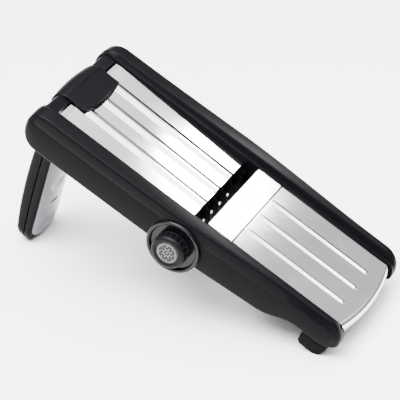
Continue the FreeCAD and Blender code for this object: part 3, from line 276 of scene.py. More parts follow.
ABS, GLOSS, TPE, RUBBER = abs_black(), abs_gloss(), tpe_black(), rubber_black()
POLISHED, GROUND, PLAIN, SATIN = steel_polished(), steel_ground(), steel_plain(), silver_satin()
NYLON, INK, BOARD, OXIDE = nylon_black(), print_white(), floor_white(), steel_blackened()


# ---- making pieces --------------------------------------------------------------------------------
def mesh_of(name, points, faces, matrix):
    """Closed mesh in the frame's metres, with its doubles merged and its faces outwards."""
    made = bpy.data.meshes.new(name)
    made.from_pydata([matrix @ Vector(p) for p in points], [], faces)
    work = bmesh.new()
    work.from_mesh(made)
    bmesh.ops.remove_doubles(work, verts=work.verts, dist=2e-6)
    bmesh.ops.recalc_face_normals(work, faces=work.faces)
    work.to_mesh(made)
    work.free()
    return made


def in_scene(name, data):
    """A new object of the scene."""
    made = bpy.data.objects.new(name, data)
    bpy.context.scene.collection.objects.link(made)
    return made


def show(name, mesh, material, body, nodes, sharp=32.0):
    """Put a finished mesh in the scene, riding on its body and standing for its CAD nodes."""
    piece = in_scene(name, mesh)
    mesh.materials.clear()
    mesh.materials.append(material)
    mesh.shade_smooth()
    mesh.set_sharp_from_angle(angle=math.radians(sharp))
    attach(piece, body)
    if nodes:
        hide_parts(*nodes)


def skin(rings, capped=True):
    """Points and faces of the tube that joins successive closed rings."""
    count = len(rings[0])
    points = [p for ring in rings for p in ring]
    faces = []
    for i in range(len(rings) - 1):
        for k in range(count):
            a, b = i * count + k, i * count + (k + 1) % count
            faces.append((a, b, b + count, a + count))
    if capped:
        faces.append(tuple(range(count)))
        faces.append(tuple(range(len(points) - count, len(points))))
    return points, faces


def joined(parts):
    """Several (points, faces) shells as one."""
    points, faces = [], []
    for more_points, more_faces in parts:
        start = len(points)
        points += more_points
        faces += [tuple(start + i for i in face) for face in more_faces]
    return points, faces


def rounded(corners, radii, steps=5):
    """Closed outline with an arc at each corner."""
    outline = []
    count = len(corners)
    for i in range(count):
        here = Vector(corners[i])
        back = Vector(corners[i - 1]) - here
        ahead = Vector(corners[(i + 1) % count]) - here
        if not radii[i]:
            outline.append(tuple(here))
            continue
        angle = back.angle(ahead)
        reach = min(radii[i] / math.tan(angle / 2.0), 0.45 * back.length, 0.45 * ahead.length)
        radius = reach * math.tan(angle / 2.0)
        inwards = (back.normalized() + ahead.normalized()).normalized()
        centre = here + inwards * (radius / math.sin(angle / 2.0))
        start = here + back.normalized() * reach - centre
        sweep = start.angle_signed(here + ahead.normalized() * reach - centre)
        for k in range(steps + 1):
            turn = -sweep * k / steps
            outline.append((centre.x + start.x * math.cos(turn) - start.y * math.sin(turn),
                            centre.y + start.x * math.sin(turn) + start.y * math.cos(turn)))
    return outline


def turned(profile, count=128):
    """Rings about the knob's axis from (radius, distance out) points."""
    turns = [2.0 * math.pi * k / count for k in range(count)]
    return [[(SHAFT[0] + r * math.sin(a), -out, SHAFT[1] + r * math.cos(a)) for a in turns]
            for r, out in profile]


def evaluated(piece, name):
    """The piece with its modifiers applied, as a new plain mesh; the piece itself goes."""
    bpy.context.view_layer.update()
    depsgraph = bpy.context.evaluated_depsgraph_get()
    made = bpy.data.meshes.new_from_object(piece.evaluated_get(depsgraph))
    made.name = name
    bpy.data.objects.remove(piece)
    return made


def cut_away(mesh, cutters):
    """The mesh less each cutter mesh."""
    body = in_scene("blank", mesh)
    tools = []
    for cutter in cutters:
        tool = in_scene("tool", cutter)
        tools.append(tool)
        step = body.modifiers.new("cut", "BOOLEAN")
        step.operation = "DIFFERENCE"
        step.solver = "EXACT"
        step.object = tool
    made = evaluated(body, mesh.name + "_cut")
    for tool in tools:
        bpy.data.objects.remove(tool)
    return made


def softened(node, material, body, bevel_mm):
    """A smooth-shaded copy of a CAD node, with its sharp edges eased."""
    mesh = frame["nodes"][node].data.copy()
    work = bmesh.new()
    work.from_mesh(mesh)
    bmesh.ops.remove_doubles(work, verts=work.verts, dist=1e-6)
    bmesh.ops.dissolve_limit(work, angle_limit=math.radians(1.0), verts=work.verts, edges=work.edges)
    work.to_mesh(mesh)
    work.free()
    if bevel_mm:
        holder = in_scene(node + "_blank", mesh)
        step = holder.modifiers.new("ease", "BEVEL")
        step.width = bevel_mm / 1000.0
        step.segments = 2
        step.limit_method = "ANGLE"
        step.angle_limit = math.radians(40.0)
        mesh = evaluated(holder, node + "_eased")
    show(node + "_finished", mesh, material, body, [node], 30.0)


# ---- rails ----------------------------------------------------------------------------------------
def lower_edge(x):
    """Height of the rail's lower edge: a slow belly, then a step up behind the front feet."""
    rise = BELLY[0] * ease(x / BELLY[1])
    rise += TAIL_RISE[0] * ease((min(x, UNDERCUT[0]) - BLADE_EDGE) / TAIL_RISE[1])
    rise += UNDERCUT_RISE * ease((x - UNDERCUT[0]) / (UNDERCUT[1] - UNDERCUT[0]))
    return rise - RAIL_DEPTH


def end_drop(x):
    """How far the rail is rounded off at a place near either end, from 0 to 1."""
    s = max(0.0, (RAIL_START + UPPER_ROUND - x) / UPPER_ROUND, (x - RAIL_END + NOSE_ROUND) / NOSE_ROUND)
    return 1.0 - math.sqrt(max(0.0, 1.0 - s * s))


def rail_corners(x):
    """Corners of the rail's section as (y, z): top inner edge, round the outside, back to the ledge."""
    along, taper = x / TAPER[1], (x - TAPER[0]) / (TAPER[1] - TAPER[0])
    drop = end_drop(x)
    drops = UPPER_DROPS if x < BLADE_EDGE else NOSE_DROPS
    top_in = mix(*TOP_IN, ease(along)) - drop * drops[0]
    top_out = mix(*TOP_OUT, ease(along)) - drop * drops[1]
    bottom = lower_edge(x) + drop * drops[2]
    top_y = mix(*TOP_OUTER, ease(taper)) - END_TUCK * drop
    side_y = top_y + SIDE_BULGE + NOSE_FLARE * ease(taper)
    crease = bottom + CREASE_SHARE * (top_out - bottom)
    ledge = min(LEDGE_Z, top_in - 1.0)
    return [(TOP_EDGE, top_in), (top_y, top_out), (side_y, crease), (side_y - SIDE_TUCK, bottom),
            (INNER_WALL, bottom), (INNER_WALL, ledge), (LEDGE_Y, ledge)]


def rail_ring(x):
    """The section with its edges rounded and a fine parting groove along the crease."""
    top_in, top_out, crease, low_out, low_in, ledge_in, ledge_out = rail_corners(x)
    above = (mix(crease[0], top_out[0], 0.05), mix(crease[1], top_out[1], 0.05))
    groove = (crease[0] - CREASE_DEPTH, crease[1])
    below = (mix(crease[0], low_out[0], 0.03), mix(crease[1], low_out[1], 0.03))
    corners = [top_in, top_out, above, groove, below, low_out, low_in, ledge_in, ledge_out]
    radii = [1.6, 3.2, 0.0, 0.0, 0.0, 2.4, 1.0, 0.6, 0.8]
    return [(x, y, z) for y, z in rounded(corners, radii)]


def rail_places():
    """Places of the rail's sections: close together round its two ends, even between them."""
    places = [RAIL_START + UPPER_ROUND * (1.0 - math.cos(math.radians(9.0 * i))) for i in range(11)]
    x = RAIL_START + UPPER_ROUND + 8.0
    while x < RAIL_END - NOSE_ROUND - 4.0:
        places.append(x)
        x += 8.0
    places += [RAIL_END - NOSE_ROUND * (1.0 - math.sin(math.radians(9.0 * i))) for i in range(11)]
    return places


def channel(x0, x1):
    """Hollow under the rail."""
    rings = []
    for i in range(13):
        x = mix(x0, x1, i / 12.0)
        top_in, top_out, crease, low_out, low_in, ledge_in, ledge_out = rail_corners(x)
        inner, outer = INNER_WALL + RAIL_WALL, low_out[0] - RAIL_WALL
        roof = min(top_out[1], top_in[1]) - RAIL_WALL
        rings.append([(x, inner, low_out[1] - 2.0), (x, outer, low_out[1] - 2.0), (x, outer, crease[1]),
                      (x, top_out[0] - 2.0 * RAIL_WALL, roof), (x, TOP_EDGE + 1.0, roof),
                      (x, inner, LEDGE_Z - 2.0 * RAIL_WALL)])
    return rings


def rail(side):
    """One rail; side is +1 for the far rail and -1 for the near one."""
    facing = STAND @ Matrix.Scale(side, 4, (0, 1, 0))
    body = mesh_of("rail", *skin([rail_ring(x) for x in rail_places()]), facing)
    spans = ((CHANNEL[0], SHAFT[0] - SHAFT_ROOM), (SHAFT[0] + SHAFT_ROOM, CHANNEL[1]))
    cutters = [mesh_of("channel", *skin(channel(*span)), facing) for span in spans]
    if side < 0:
        seat = turned([(BEZEL_R + 0.1, BEZEL_BACK), (BEZEL_R + 0.1, 100.0)])
        cutters.append(mesh_of("seat", *skin(seat), STAND))
    return cut_away(body, cutters)


def make_rails():
    show("near_rail_shell", rail(-1), ABS, "frame", ["near_side_rail"])
    show("far_rail_shell", rail(1), ABS, "frame", ["far_side_rail"])


# ---- end cap --------------------------------------------------------------------------------------
def make_end_cap():
    """Two rounded blocks with the bar between them that the leg turns on."""
    outline = rounded([(CAP_OUTER, RUNWAY_TOP), (CAP_INNER, RUNWAY_TOP), (CAP_INNER, CAP_BOTTOM),
                       (CAP_LOW_X, CAP_BOTTOM)], [CAP_ROUND, 1.0, 2.0, 3.0], 10)
    centre = (CAP_OUTER + 8.0, 0.5 * CAP_BOTTOM)
    shells = []
    for side in (-1, 1):
        rings = []
        for y, scale in ((INNER_WALL, 1.0), (35.0, 1.0), (34.2, 0.985), (BARREL_HALF + BORE_GAP, 0.95)):
            rings.append([(mix(centre[0], x, scale), side * y, mix(centre[1], z, scale))
                          for x, z in outline])
        shells.append(skin(rings))
    bar = []
    for y in (0.5 - BARREL_HALF, BARREL_HALF - 0.5):
        bar.append([(PIVOT[0] + BAR_R * math.cos(math.radians(5 * k)), y,
                     PIVOT[1] + BAR_R * math.sin(math.radians(5 * k))) for k in range(72)])
    shells.append(skin(bar))
    show("end_cap_block", mesh_of("end_cap_block", *joined(shells), STAND), ABS, "frame", ["end_cap"])


# ---- guide fins -----------------------------------------------------------------------------------
def make_guide_fins():
    """Curved fins that carry on from the runway's end and fill the slot: deep enough to look black."""
    root, crest, shoulder, tip = 148.0, 165.0, 172.0, BLADE_EDGE - 1.0
    over_shaft = SHAFT[1] + 4.7
    profile = rounded([(root, FIN_TOP), (crest, FIN_TOP - 0.4), (shoulder, -13.0), (tip - 0.6, -22.0),
                       (tip, FIN_BOTTOM), (SHAFT[0] + 5.6, FIN_BOTTOM), (SHAFT[0] + 5.3, over_shaft),
                       (SHAFT[0] - 5.6, over_shaft), (SHAFT[0] - 5.8, FIN_BOTTOM), (root, FIN_BOTTOM)],
                      [0.0, 6.0, 14.0, 8.0, 1.5, 1.5, 1.5, 1.5, 1.5, 0.0])
    shells = []
    for i in range(FIN_COUNT):
        middle = (i - (FIN_COUNT - 1) / 2.0) * FIN_PITCH
        sides = (middle - FIN_WIDTH / 2.0, middle + FIN_WIDTH / 2.0)
        shells.append(skin([[(x, y, z) for x, z in profile] for y in sides]))
    show("guide_fins", mesh_of("guide_fins", *joined(shells), STAND), ABS, "runway", [])


# ---- sheet steel ----------------------------------------------------------------------------------
def group_tree(name, sizes):
    """Empty Geometry Nodes group with one named input for each size."""
    tree = bpy.data.node_groups.new(name, "GeometryNodeTree")
    tree.interface.new_socket("Geometry", in_out="OUTPUT", socket_type="NodeSocketGeometry")
    for label, value in sizes.items():
        kind = "NodeSocketInt" if isinstance(value, int) else "NodeSocketFloat"
        socket = tree.interface.new_socket(label, in_out="INPUT", socket_type=kind)
        socket.default_value = value
    return tree, tree.nodes.new("NodeGroupInput").outputs


def grown(tree, sizes, material, name):
    """Run a Geometry Nodes group once and keep its result as a plain mesh."""
    holder = in_scene(name, bpy.data.meshes.new(name + "_seed"))
    step = holder.modifiers.new("grow", "NODES")
    step.node_group = tree
    for item in tree.interface.items_tree:
        if item.item_type == "SOCKET" and item.in_out == "INPUT":
            step[item.identifier] = sizes[item.name]
    made = evaluated(holder, name)
    made.materials.clear()
    made.materials.append(material)
    return made


def closed_tree(tree, geometry, material):
    """The tree with its result made real, dressed and given out."""
    real = add(tree, "GeometryNodeRealizeInstances", {0: geometry})
    dressed = add(tree, "GeometryNodeSetMaterial", {"Geometry": real.outputs[0], "Material": material})
    add(tree, "NodeGroupOutput", {0: dressed.outputs[0]})
    return tree


def calc(tree, operation, a, b=0.0, c=0.0):
    """One sum in a tree."""
    return add(tree, "ShaderNodeMath", {0: a, 1: b, 2: c}, operation=operation).outputs[0]


def ribbed_sheet_tree():
    """A flat sheet with three pressed ribs along it: even slopes, flat crests, rounded ends."""
    sizes = {"Length": 100.0, "Width": 100.0, "Along": 100, "Across": 100, "Rib pitch": 28.0,
             "Rib width": 6.0, "Rib height": 1.6, "Slope share": 0.3, "Rib start": 4.0, "Rib end": 90.0}
    tree, size = group_tree("pressed_ribs", sizes)
    grid = add(tree, "GeometryNodeMeshGrid", {"Size X": size["Length"], "Size Y": size["Width"],
                                              "Vertices X": size["Along"], "Vertices Y": size["Across"]})
    at = add(tree, "ShaderNodeSeparateXYZ", {0: add(tree, "GeometryNodeInputPosition").outputs[0]})
    x = calc(tree, "ADD", at.outputs[0], calc(tree, "MULTIPLY", size["Length"], 0.5))
    nearest = calc(tree, "ROUND", calc(tree, "DIVIDE", at.outputs[1], size["Rib pitch"]))
    nearest = calc(tree, "MAXIMUM", calc(tree, "MINIMUM", nearest, 1.0), -1.0)
    dy = calc(tree, "SUBTRACT", at.outputs[1], calc(tree, "MULTIPLY", nearest, size["Rib pitch"]))
    half = calc(tree, "MULTIPLY", size["Rib width"], 0.5)
    before = calc(tree, "SUBTRACT", calc(tree, "ADD", size["Rib start"], half), x)
    after = calc(tree, "SUBTRACT", x, calc(tree, "SUBTRACT", size["Rib end"], half))
    dx = calc(tree, "MAXIMUM", calc(tree, "MAXIMUM", before, after), 0.0)
    square = calc(tree, "ADD", calc(tree, "MULTIPLY", dx, dx), calc(tree, "MULTIPLY", dy, dy))
    away = calc(tree, "SQRT", square)
    share = calc(tree, "SUBTRACT", 1.0, calc(tree, "DIVIDE", away, half))
    rise = add(tree, "ShaderNodeMapRange", {"Value": share, "From Min": 0.0, "From Max": size["Slope share"],
                                            "To Min": 0.0, "To Max": 1.0}, interpolation_type="LINEAR")
    height = calc(tree, "MULTIPLY", rise.outputs[0], size["Rib height"])
    lift = add(tree, "ShaderNodeCombineXYZ", {"Z": height})
    slide = add(tree, "ShaderNodeCombineXYZ", {"X": calc(tree, "MULTIPLY", size["Length"], 0.5)})
    raised = add(tree, "GeometryNodeSetPosition", {"Geometry": grid.outputs[0], "Offset": lift.outputs[0]})
    moved = add(tree, "GeometryNodeSetPosition", {"Geometry": raised.outputs[0], "Offset": slide.outputs[0]})
    return closed_tree(tree, moved.outputs[0], POLISHED)


def rib_sizes(length, half, along, across, rib, rib_end):
    """Inputs of the ribbed sheet, from its length, half width, grid and rib."""
    return {"Length": length, "Width": 2.0 * half, "Along": along, "Across": across, "Rib pitch": RIB_PITCH,
            "Rib width": rib["width"], "Rib height": rib["height"], "Slope share": rib["slope"],
            "Rib start": rib["start"], "Rib end": rib_end}


def thick(mesh, place, matrix):
    """Give a sheet its thickness below, after placing each of its points."""
    work = bmesh.new()
    work.from_mesh(mesh)
    points = [place(v.co) for v in work.verts]
    work.verts.ensure_lookup_table()
    for v, p in zip(work.verts, points):
        v.co = p
    work.normal_update()
    normals = [v.normal.copy() for v in work.verts]
    faces = [[v.index for v in f.verts] for f in work.faces]
    rim = [(e.verts[0].index, e.verts[1].index) for e in work.edges if e.is_boundary]
    work.free()
    count = len(points)
    sign = 1.0 if sum(n.z for n in normals) > 0 else -1.0
    below = [Vector(p) - n * (SHEET * sign) for p, n in zip(points, normals)]
    all_faces = [tuple(f) for f in faces] + [tuple(count + i for i in reversed(f)) for f in faces]
    all_faces += [(a, b, b + count, a + count) for a, b in rim]
    return mesh_of(mesh.name + "_thick", points + below, all_faces, matrix)


def make_runway_plate(tree):
    """Ribbed sheet with a bent upper edge."""
    length = RUNWAY[1] - RUNWAY[0]
    sizes = rib_sizes(length, RUNWAY_HALF, 110, 213, RUNWAY_RIB, length + 30.0)
    flat = grown(tree, sizes, POLISHED, "runway_sheet")

    def place(p):
        """Bent strip at the upper edge, with a notch in its middle that clears the leg."""
        shift = 0.0
        if abs(p.y) < BARREL_HALF + NOTCH_GAP:
            shift = NOTCH * max(0.0, 1.0 - p.x / STRIP)
        x = p.x + shift
        bent = max(0.0, STRIP - x) / STRIP
        return Vector((x + RUNWAY[0], p.y, p.z - STRIP_FALL * bent))

    show("runway_sheet", thick(flat, place, ON_RUNWAY), POLISHED, "runway", ["runway_plate"], 50)


def make_landing_plate(tree):
    """Ribbed sheet whose front edge follows an arc and rolls down into a lip."""
    roll = LIP_FOLD * math.pi / 2.0
    flat_length = LIP_CREASE - LANDING_START
    length = flat_length + roll + LIP_DROP
    sizes = rib_sizes(length, STEEL_HALF, 150, 203, LANDING_RIB, LANDING_RIB_END - LANDING_START)
    flat = grown(tree, sizes, POLISHED, "landing_sheet")
    centre = LIP_CREASE - LIP_RADIUS
    fixed = LANDING_RIB_END - LANDING_START - 12.0

    def place(p):
        """Flat up to the crease, which is drawn back to the arc, then round the roll and down the lip."""
        crease = centre + math.sqrt(LIP_RADIUS ** 2 - p.y ** 2)
        if p.x < flat_length:
            drawn_back = LIP_CREASE - crease
            share = ease(max(0.0, p.x - fixed) / (flat_length - fixed))
            return Vector((LANDING_START + p.x - drawn_back * share, p.y, p.z))
        bend = min(1.0, (p.x - flat_length) / roll) * math.pi / 2.0
        out = LIP_FOLD * math.sin(bend)
        down = LIP_FOLD * (1.0 - math.cos(bend)) + max(0.0, p.x - flat_length - roll)
        return Vector((centre + math.sqrt((LIP_RADIUS + out) ** 2 - p.y ** 2), p.y, -down))

    show("landing_sheet", thick(flat, place, STAND), POLISHED, "frame", ["landing_plate"], 50)


def make_blade():
    """Ground blade with a fine bevel at its cutting edge and eased sides."""
    profile = [(BLADE_EDGE, -0.06), (BLADE_EDGE + 0.5, 0.0), (BLADE_BACK - 0.3, 0.0), (BLADE_BACK, -0.3),
               (BLADE_BACK, -BLADE_THICK), (BLADE_EDGE + 4.0, -BLADE_THICK)]
    rings = [[(x, y, z) for x, z in profile] for y in (-STEEL_HALF, STEEL_HALF)]
    mesh = mesh_of("blade_ground", *skin(rings), STAND)
    show("blade_ground", mesh, GROUND, "frame", ["straight_blade"], 5)


# ---- leg ------------------------------------------------------------------------------------------
def leg_outer(z):
    """The leg's long curve on its outer side."""
    depth = -z / LEG_DROP
    return LEG_OUTER[0] + LEG_OUTER[1] * depth + LEG_OUTER[2] * depth ** 3


def leg_inner(z):
    """The leg's straight line on its inner side."""
    return LEG_INNER[0] - LEG_INNER[1] * z / LEG_DROP


def leg_seam(z):
    """The line where the leg's two shells meet."""
    return mix(leg_outer(z), leg_inner(z), LEG_SEAM_SHARE)


def leg_half(z):
    """Half width of the leg: barrel width at the top, drawn in, round at the foot."""
    past = LEG_CORNER - LEG_DROP - z
    if past > 0.0:
        return LEG_HALF - LEG_CORNER + math.sqrt(max(0.0, LEG_CORNER ** 2 - past ** 2))
    return LEG_HALF + (BARREL_HALF - LEG_HALF) * ease((z + 95.0) / 65.0)


def strap_ring(outer, inner, half, crown, outer_r, inner_r, under=None, count=24, arc=6):
    """Rounded section between an outer and an inner point (x, z), crowned across its width."""
    outer, inner = Vector(outer), Vector(inner)
    deep = (outer - inner).length
    along = (outer - inner) / deep
    outer_r = min(outer_r, 0.48 * deep)
    inner_r = min(inner_r, 0.48 * deep)
    flat = []
    reach = half - outer_r
    for k in range(count + 1):
        y = mix(-reach, reach, k / count)
        flat.append((y, deep - crown * (y / half) ** 2))
    edge = deep - crown * (reach / half) ** 2 - outer_r
    for k in range(1, arc):
        a = math.pi / 2.0 * (1.0 - k / arc)
        flat.append((reach + outer_r * math.cos(a), edge + outer_r * math.sin(a)))
    reach = half - inner_r
    for k in range(arc + 1):
        a = -math.pi / 2.0 * k / arc
        flat.append((reach + inner_r * math.cos(a), inner_r + inner_r * math.sin(a)))
    for k in range(1, count):
        y = mix(reach, -reach, k / count)
        flat.append((y, under(y) if under else 0.0))
    for k in range(arc + 1):
        a = -math.pi / 2.0 * (1.0 - k / arc)
        flat.append((-reach - inner_r * math.cos(a), inner_r + inner_r * math.sin(a)))
    reach = half - outer_r
    for k in range(1, arc):
        a = math.pi / 2.0 * k / arc
        flat.append((-reach - outer_r * math.cos(a), edge + outer_r * math.sin(a)))
    return [(inner.x + along.x * d, y, inner.y + along.y * d) for y, d in flat]


def tip_share(z, low, length=9.0):
    """Thickness of the leg's round end, as a share of its full thickness."""
    s = max(0.0, (low + length - z) / length)
    return math.sqrt(max(0.0, 1.0 - s * s))


def shank_rings(front, back, z_low, z_high, outer_r, inner_r, steps=40, low=-LEG_DROP + 0.3):
    """Sections up the leg between two of its long curves, with the foot rounded off."""
    rings = []
    for i in range(steps + 1):
        t = i / steps
        z = z_low + (z_high - z_low) * (t * t * 0.5 + t * 0.5)
        middle = mix(leg_outer(z), leg_inner(z), 0.62)
        share = max(0.12, tip_share(z, low))
        outer = middle + (back(z) - middle) * share
        inner = middle + (front(z) - middle) * share
        rings.append(strap_ring((outer, z), (inner, z), leg_half(z), 1.2 * share, outer_r, inner_r))
    return rings


def around(radius, degrees):
    """A point about the leg's pivot."""
    a = math.radians(degrees)
    return (PIVOT[0] + radius * math.cos(a), PIVOT[1] + radius * math.sin(a))


def hook_roof(x):
    """Top of the hook, sloping down from the barrel."""
    return PIVOT[1] + BARREL_R - (x - PIVOT[0]) * math.tan(math.radians(HOOK_SLOPE))


def hook_floor(x):
    """Underside of the hook: just over the bar, then up over the runway's edge."""
    return mix(PIVOT[1] + BAR_R + 0.3, RUNWAY_TOP + HOOK_LIFT, ease((x + 6.0) / 6.0))


def over_ribs(y):
    """Relief under the hook where it passes over the runway's ribs."""
    nearest = max(-1, min(1, round(y / RIB_PITCH))) * RIB_PITCH
    return 1.9 * ease(1.6 * (1.0 - abs(y - nearest) / 9.0))


def make_leg_shells():
    """Back shell with the barrel round the bar, front shell under the bright face, and the rubber foot."""
    bore = BAR_R + BORE_GAP
    back = shank_rings(leg_seam, leg_outer, FOOT_LINE, -33.0, 5.0, 0.5)
    for z, degrees in ((-29.0, 243.0), (-25.0, 232.0), (-21.0, 218.0)):
        back.append(strap_ring((leg_outer(z), z), around(bore, degrees), leg_half(z), 1.5, 5.0, 0.5))
    for i in range(15):
        degrees = mix(203.0, 94.0, i / 14.0)
        crown = mix(1.8, 2.6, ease(i / 8.0))
        back.append(strap_ring(around(BARREL_R, degrees), around(bore, degrees), BARREL_HALF, crown,
                               2.6, 0.5))
    show("leg_back_shell", mesh_of("leg_back_shell", *skin(back), STAND), ABS, "leg", ["leg_outer_shell"])

    front = shank_rings(leg_inner, leg_seam, FOOT_LINE, -24.4, 0.5, 2.2)
    show("leg_front_shell", mesh_of("leg_front_shell", *skin(front), STAND), ABS, "leg", ["leg_inner_shell"])

    foot = shank_rings(leg_inner, leg_outer, -LEG_DROP + 0.35, FOOT_LINE - 0.1, 5.0, 2.2, 14)
    mesh = mesh_of("leg_rubber_foot", *skin(foot), STAND)
    for v in mesh.vertices:
        v.co.z = max(v.co.z, 0.0)
    show("leg_rubber_foot", mesh, RUBBER, "leg", ["leg_foot"])


def make_hook():
    """Tongue from the barrel over the runway's edge, with a bowed and rounded front edge."""
    steps, round_share = 26, 0.1
    rings = []
    for i in range(steps + 1):
        t = i / steps
        full = math.sqrt(max(0.0, 1.0 - max(0.0, (t - 1.0 + round_share) / round_share) ** 2))
        depth = max(0.3, full)
        x = mix(PIVOT[0] - 0.7, HOOK_REACH, t)
        floor_z, roof_z = hook_floor(x), hook_roof(x)
        middle = mix(floor_z, roof_z, 0.45)
        relief = over_ribs if x > -1.0 else None
        ring = strap_ring((x, mix(middle, roof_z, depth)), (x, mix(middle, floor_z, depth)),
                          BARREL_HALF - 1.6 * (1.0 - full), 2.4, 1.6, 0.7, relief)
        back_off = (HOOK_REACH - HOOK_CORNER) * t ** 1.4
        rings.append([(px - back_off * (py / BARREL_HALF) ** 2, py, pz) for px, py, pz in ring])
    show("hook_tongue", mesh_of("hook_tongue", *skin(rings), STAND), ABS, "leg", ["hook"])


def grip_half_at(s):
    """Half width of the bright face at a length s down the leg, round at its lower end."""
    past = s - GRIP_END + GRIP_CORNER
    if past < 0.0:
        return GRIP_HALF
    return GRIP_HALF - GRIP_CORNER + math.sqrt(max(0.0, GRIP_CORNER ** 2 - past ** 2))


def grip_height(y, s, share):
    """Height of the bright face: crowned, rounded off at its edge, with the finger dimples."""
    radius = (GRIP_HALF ** 2 + GRIP_BULGE ** 2) / (2.0 * GRIP_BULGE)
    height = math.sqrt(radius ** 2 - y ** 2) - radius + GRIP_BULGE
    edge = min(1.0, (1.0 - abs(share)) * GRIP_HALF / 1.6, (s - GRIP_TOP) / 1.2 + 0.2, (GRIP_END - s) / 1.6)
    height -= 1.1 * (1.0 - math.sqrt(max(0.0, 1.0 - (1.0 - max(0.0, edge)) ** 2)))
    for centre in DIMPLES:
        rho = (y / DIMPLE_HALF[0]) ** 2 + ((s - centre) / DIMPLE_HALF[1]) ** 2
        if rho < 1.0:
            height -= DIMPLE_DEPTH * (1.0 - rho) ** 0.75
    return height


def make_grip_plate():
    """Bright inner face of the leg: crowned across, two finger dimples, a small slot with painted shade on
    its floor.
    """
    lean = math.atan(LEG_INNER[1] / LEG_DROP)
    place = STAND @ Matrix.Translation((LEG_INNER[0], 0, 0)) @ Matrix.Rotation(-lean, 4, "Y")
    across, along = 72, 150
    points, faces = [], []
    for i in range(along + 1):
        s = mix(GRIP_TOP, GRIP_END, i / along)
        for k in range(across + 1):
            share = -math.cos(math.pi * k / across) * 0.35 + (2.0 * k / across - 1.0) * 0.65
            y = grip_half_at(min(s, GRIP_END - 0.02)) * share
            points.append((grip_height(y, s, share), y, -s))
    row = across + 1
    for i in range(along):
        for k in range(across):
            a = i * row + k
            faces.append((a, a + 1, a + 1 + row, a + row))
    rim = list(range(row)) + [i * row + across for i in range(1, along + 1)]
    rim += [along * row + k for k in range(across - 1, -1, -1)]
    rim += [i * row for i in range(along - 1, 0, -1)]
    base = len(points)
    points += [(-GRIP_SEAT, points[i][1], points[i][2]) for i in rim]
    count = len(rim)
    for k in range(count):
        faces.append((rim[k], rim[(k + 1) % count], base + (k + 1) % count, base + k))
    faces.append(tuple(base + k for k in range(count)))
    blank = mesh_of("grip_blank", points, faces, place)
    slot_outline = rounded([(-6.5, -157.6), (6.5, -157.6), (6.5, -154.4), (-6.5, -154.4)], [1.5] * 4)
    slot = mesh_of("grip_slot", *skin([[(x, y, z) for y, z in slot_outline] for x in (0.2, 12.0)]), place)
    show("grip_bright_face", cut_away(blank, [slot]), SATIN, "leg", ["leg_grip_plate"], 40)
    # The slot's floor gets a thin gloss-black sheet: painted shade standing in for the dark inside the hole.
    dark = skin([[(x, y * 0.96, z) for y, z in slot_outline] for x in (0.22, 0.6)])
    painted_shade_inlay = mesh_of("grip_slot_painted_shade", *dark, place)
    show("grip_slot_painted_shade", painted_shade_inlay, GLOSS, "leg", [])


# ---- knob -----------------------------------------------------------------------------------------
def make_bezel():
    """Round boss with a raised, rounded rim."""
    face, rim = BEZEL_FACE, BEZEL_FACE + BEZEL_RIM
    inner = BEZEL_R - BEZEL_RIM_WIDTH
    profile = [(BEZEL_HOLE, BEZEL_BACK), (BEZEL_R - 0.5, BEZEL_BACK), (BEZEL_R, BEZEL_BACK + 0.5),
               (BEZEL_R, rim - 1.6)]
    for k in range(1, 7):
        a = math.radians(15.0 * k)
        profile.append((BEZEL_R - 1.6 + 1.6 * math.cos(a), rim - 1.6 + 1.6 * math.sin(a)))
    for k in range(1, 7):
        a = math.radians(15.0 * k)
        profile.append((inner + 1.4 - 1.4 * math.sin(a), rim - 1.4 + 1.4 * math.cos(a)))
    profile += [(inner, face + 0.6), (inner - 0.6, face), (BEZEL_HOLE, face)]
    rings = turned(profile)
    points, faces = skin(rings + [rings[0]], capped=False)
    show("bezel_ring", mesh_of("bezel_ring", points, faces, STAND), GLOSS, "frame", ["knob_bezel"], 40)


def grip_ribs_tree():
    """Rounded ribs standing round a drum, each a half-round bar."""
    sizes = {"Count": 20, "Drum radius": 17.2, "Rib radius": 1.3, "Rib length": 10.0}
    tree, size = group_tree("knob_grip_ribs", sizes)
    circle = add(tree, "GeometryNodeMeshCircle", {"Vertices": size["Count"],
                                                  "Radius": size["Drum radius"]})
    bar = add(tree, "GeometryNodeMeshCylinder", {"Vertices": 16, "Radius": size["Rib radius"],
                                                 "Depth": size["Rib length"]})
    tip = add(tree, "GeometryNodeMeshUVSphere", {"Segments": 16, "Rings": 8, "Radius": size["Rib radius"]})
    up = add(tree, "ShaderNodeCombineXYZ", {"Z": calc(tree, "MULTIPLY", size["Rib length"], 0.5)})
    domed = add(tree, "GeometryNodeTransform", {"Geometry": tip.outputs[0], "Translation": up.outputs[0]})
    rib = add(tree, "GeometryNodeJoinGeometry")
    tree.links.new(bar.outputs[0], rib.inputs[0])
    tree.links.new(domed.outputs[0], rib.inputs[0])
    placed = add(tree, "GeometryNodeInstanceOnPoints", {"Points": circle.outputs[0],
                                                        "Instance": rib.outputs[0]})
    return closed_tree(tree, placed.outputs[0], TPE)


FACING_NEAR = STAND @ Matrix.Translation((SHAFT[0], 0, SHAFT[1])) @ Matrix.Rotation(math.pi / 2.0, 4, "X")


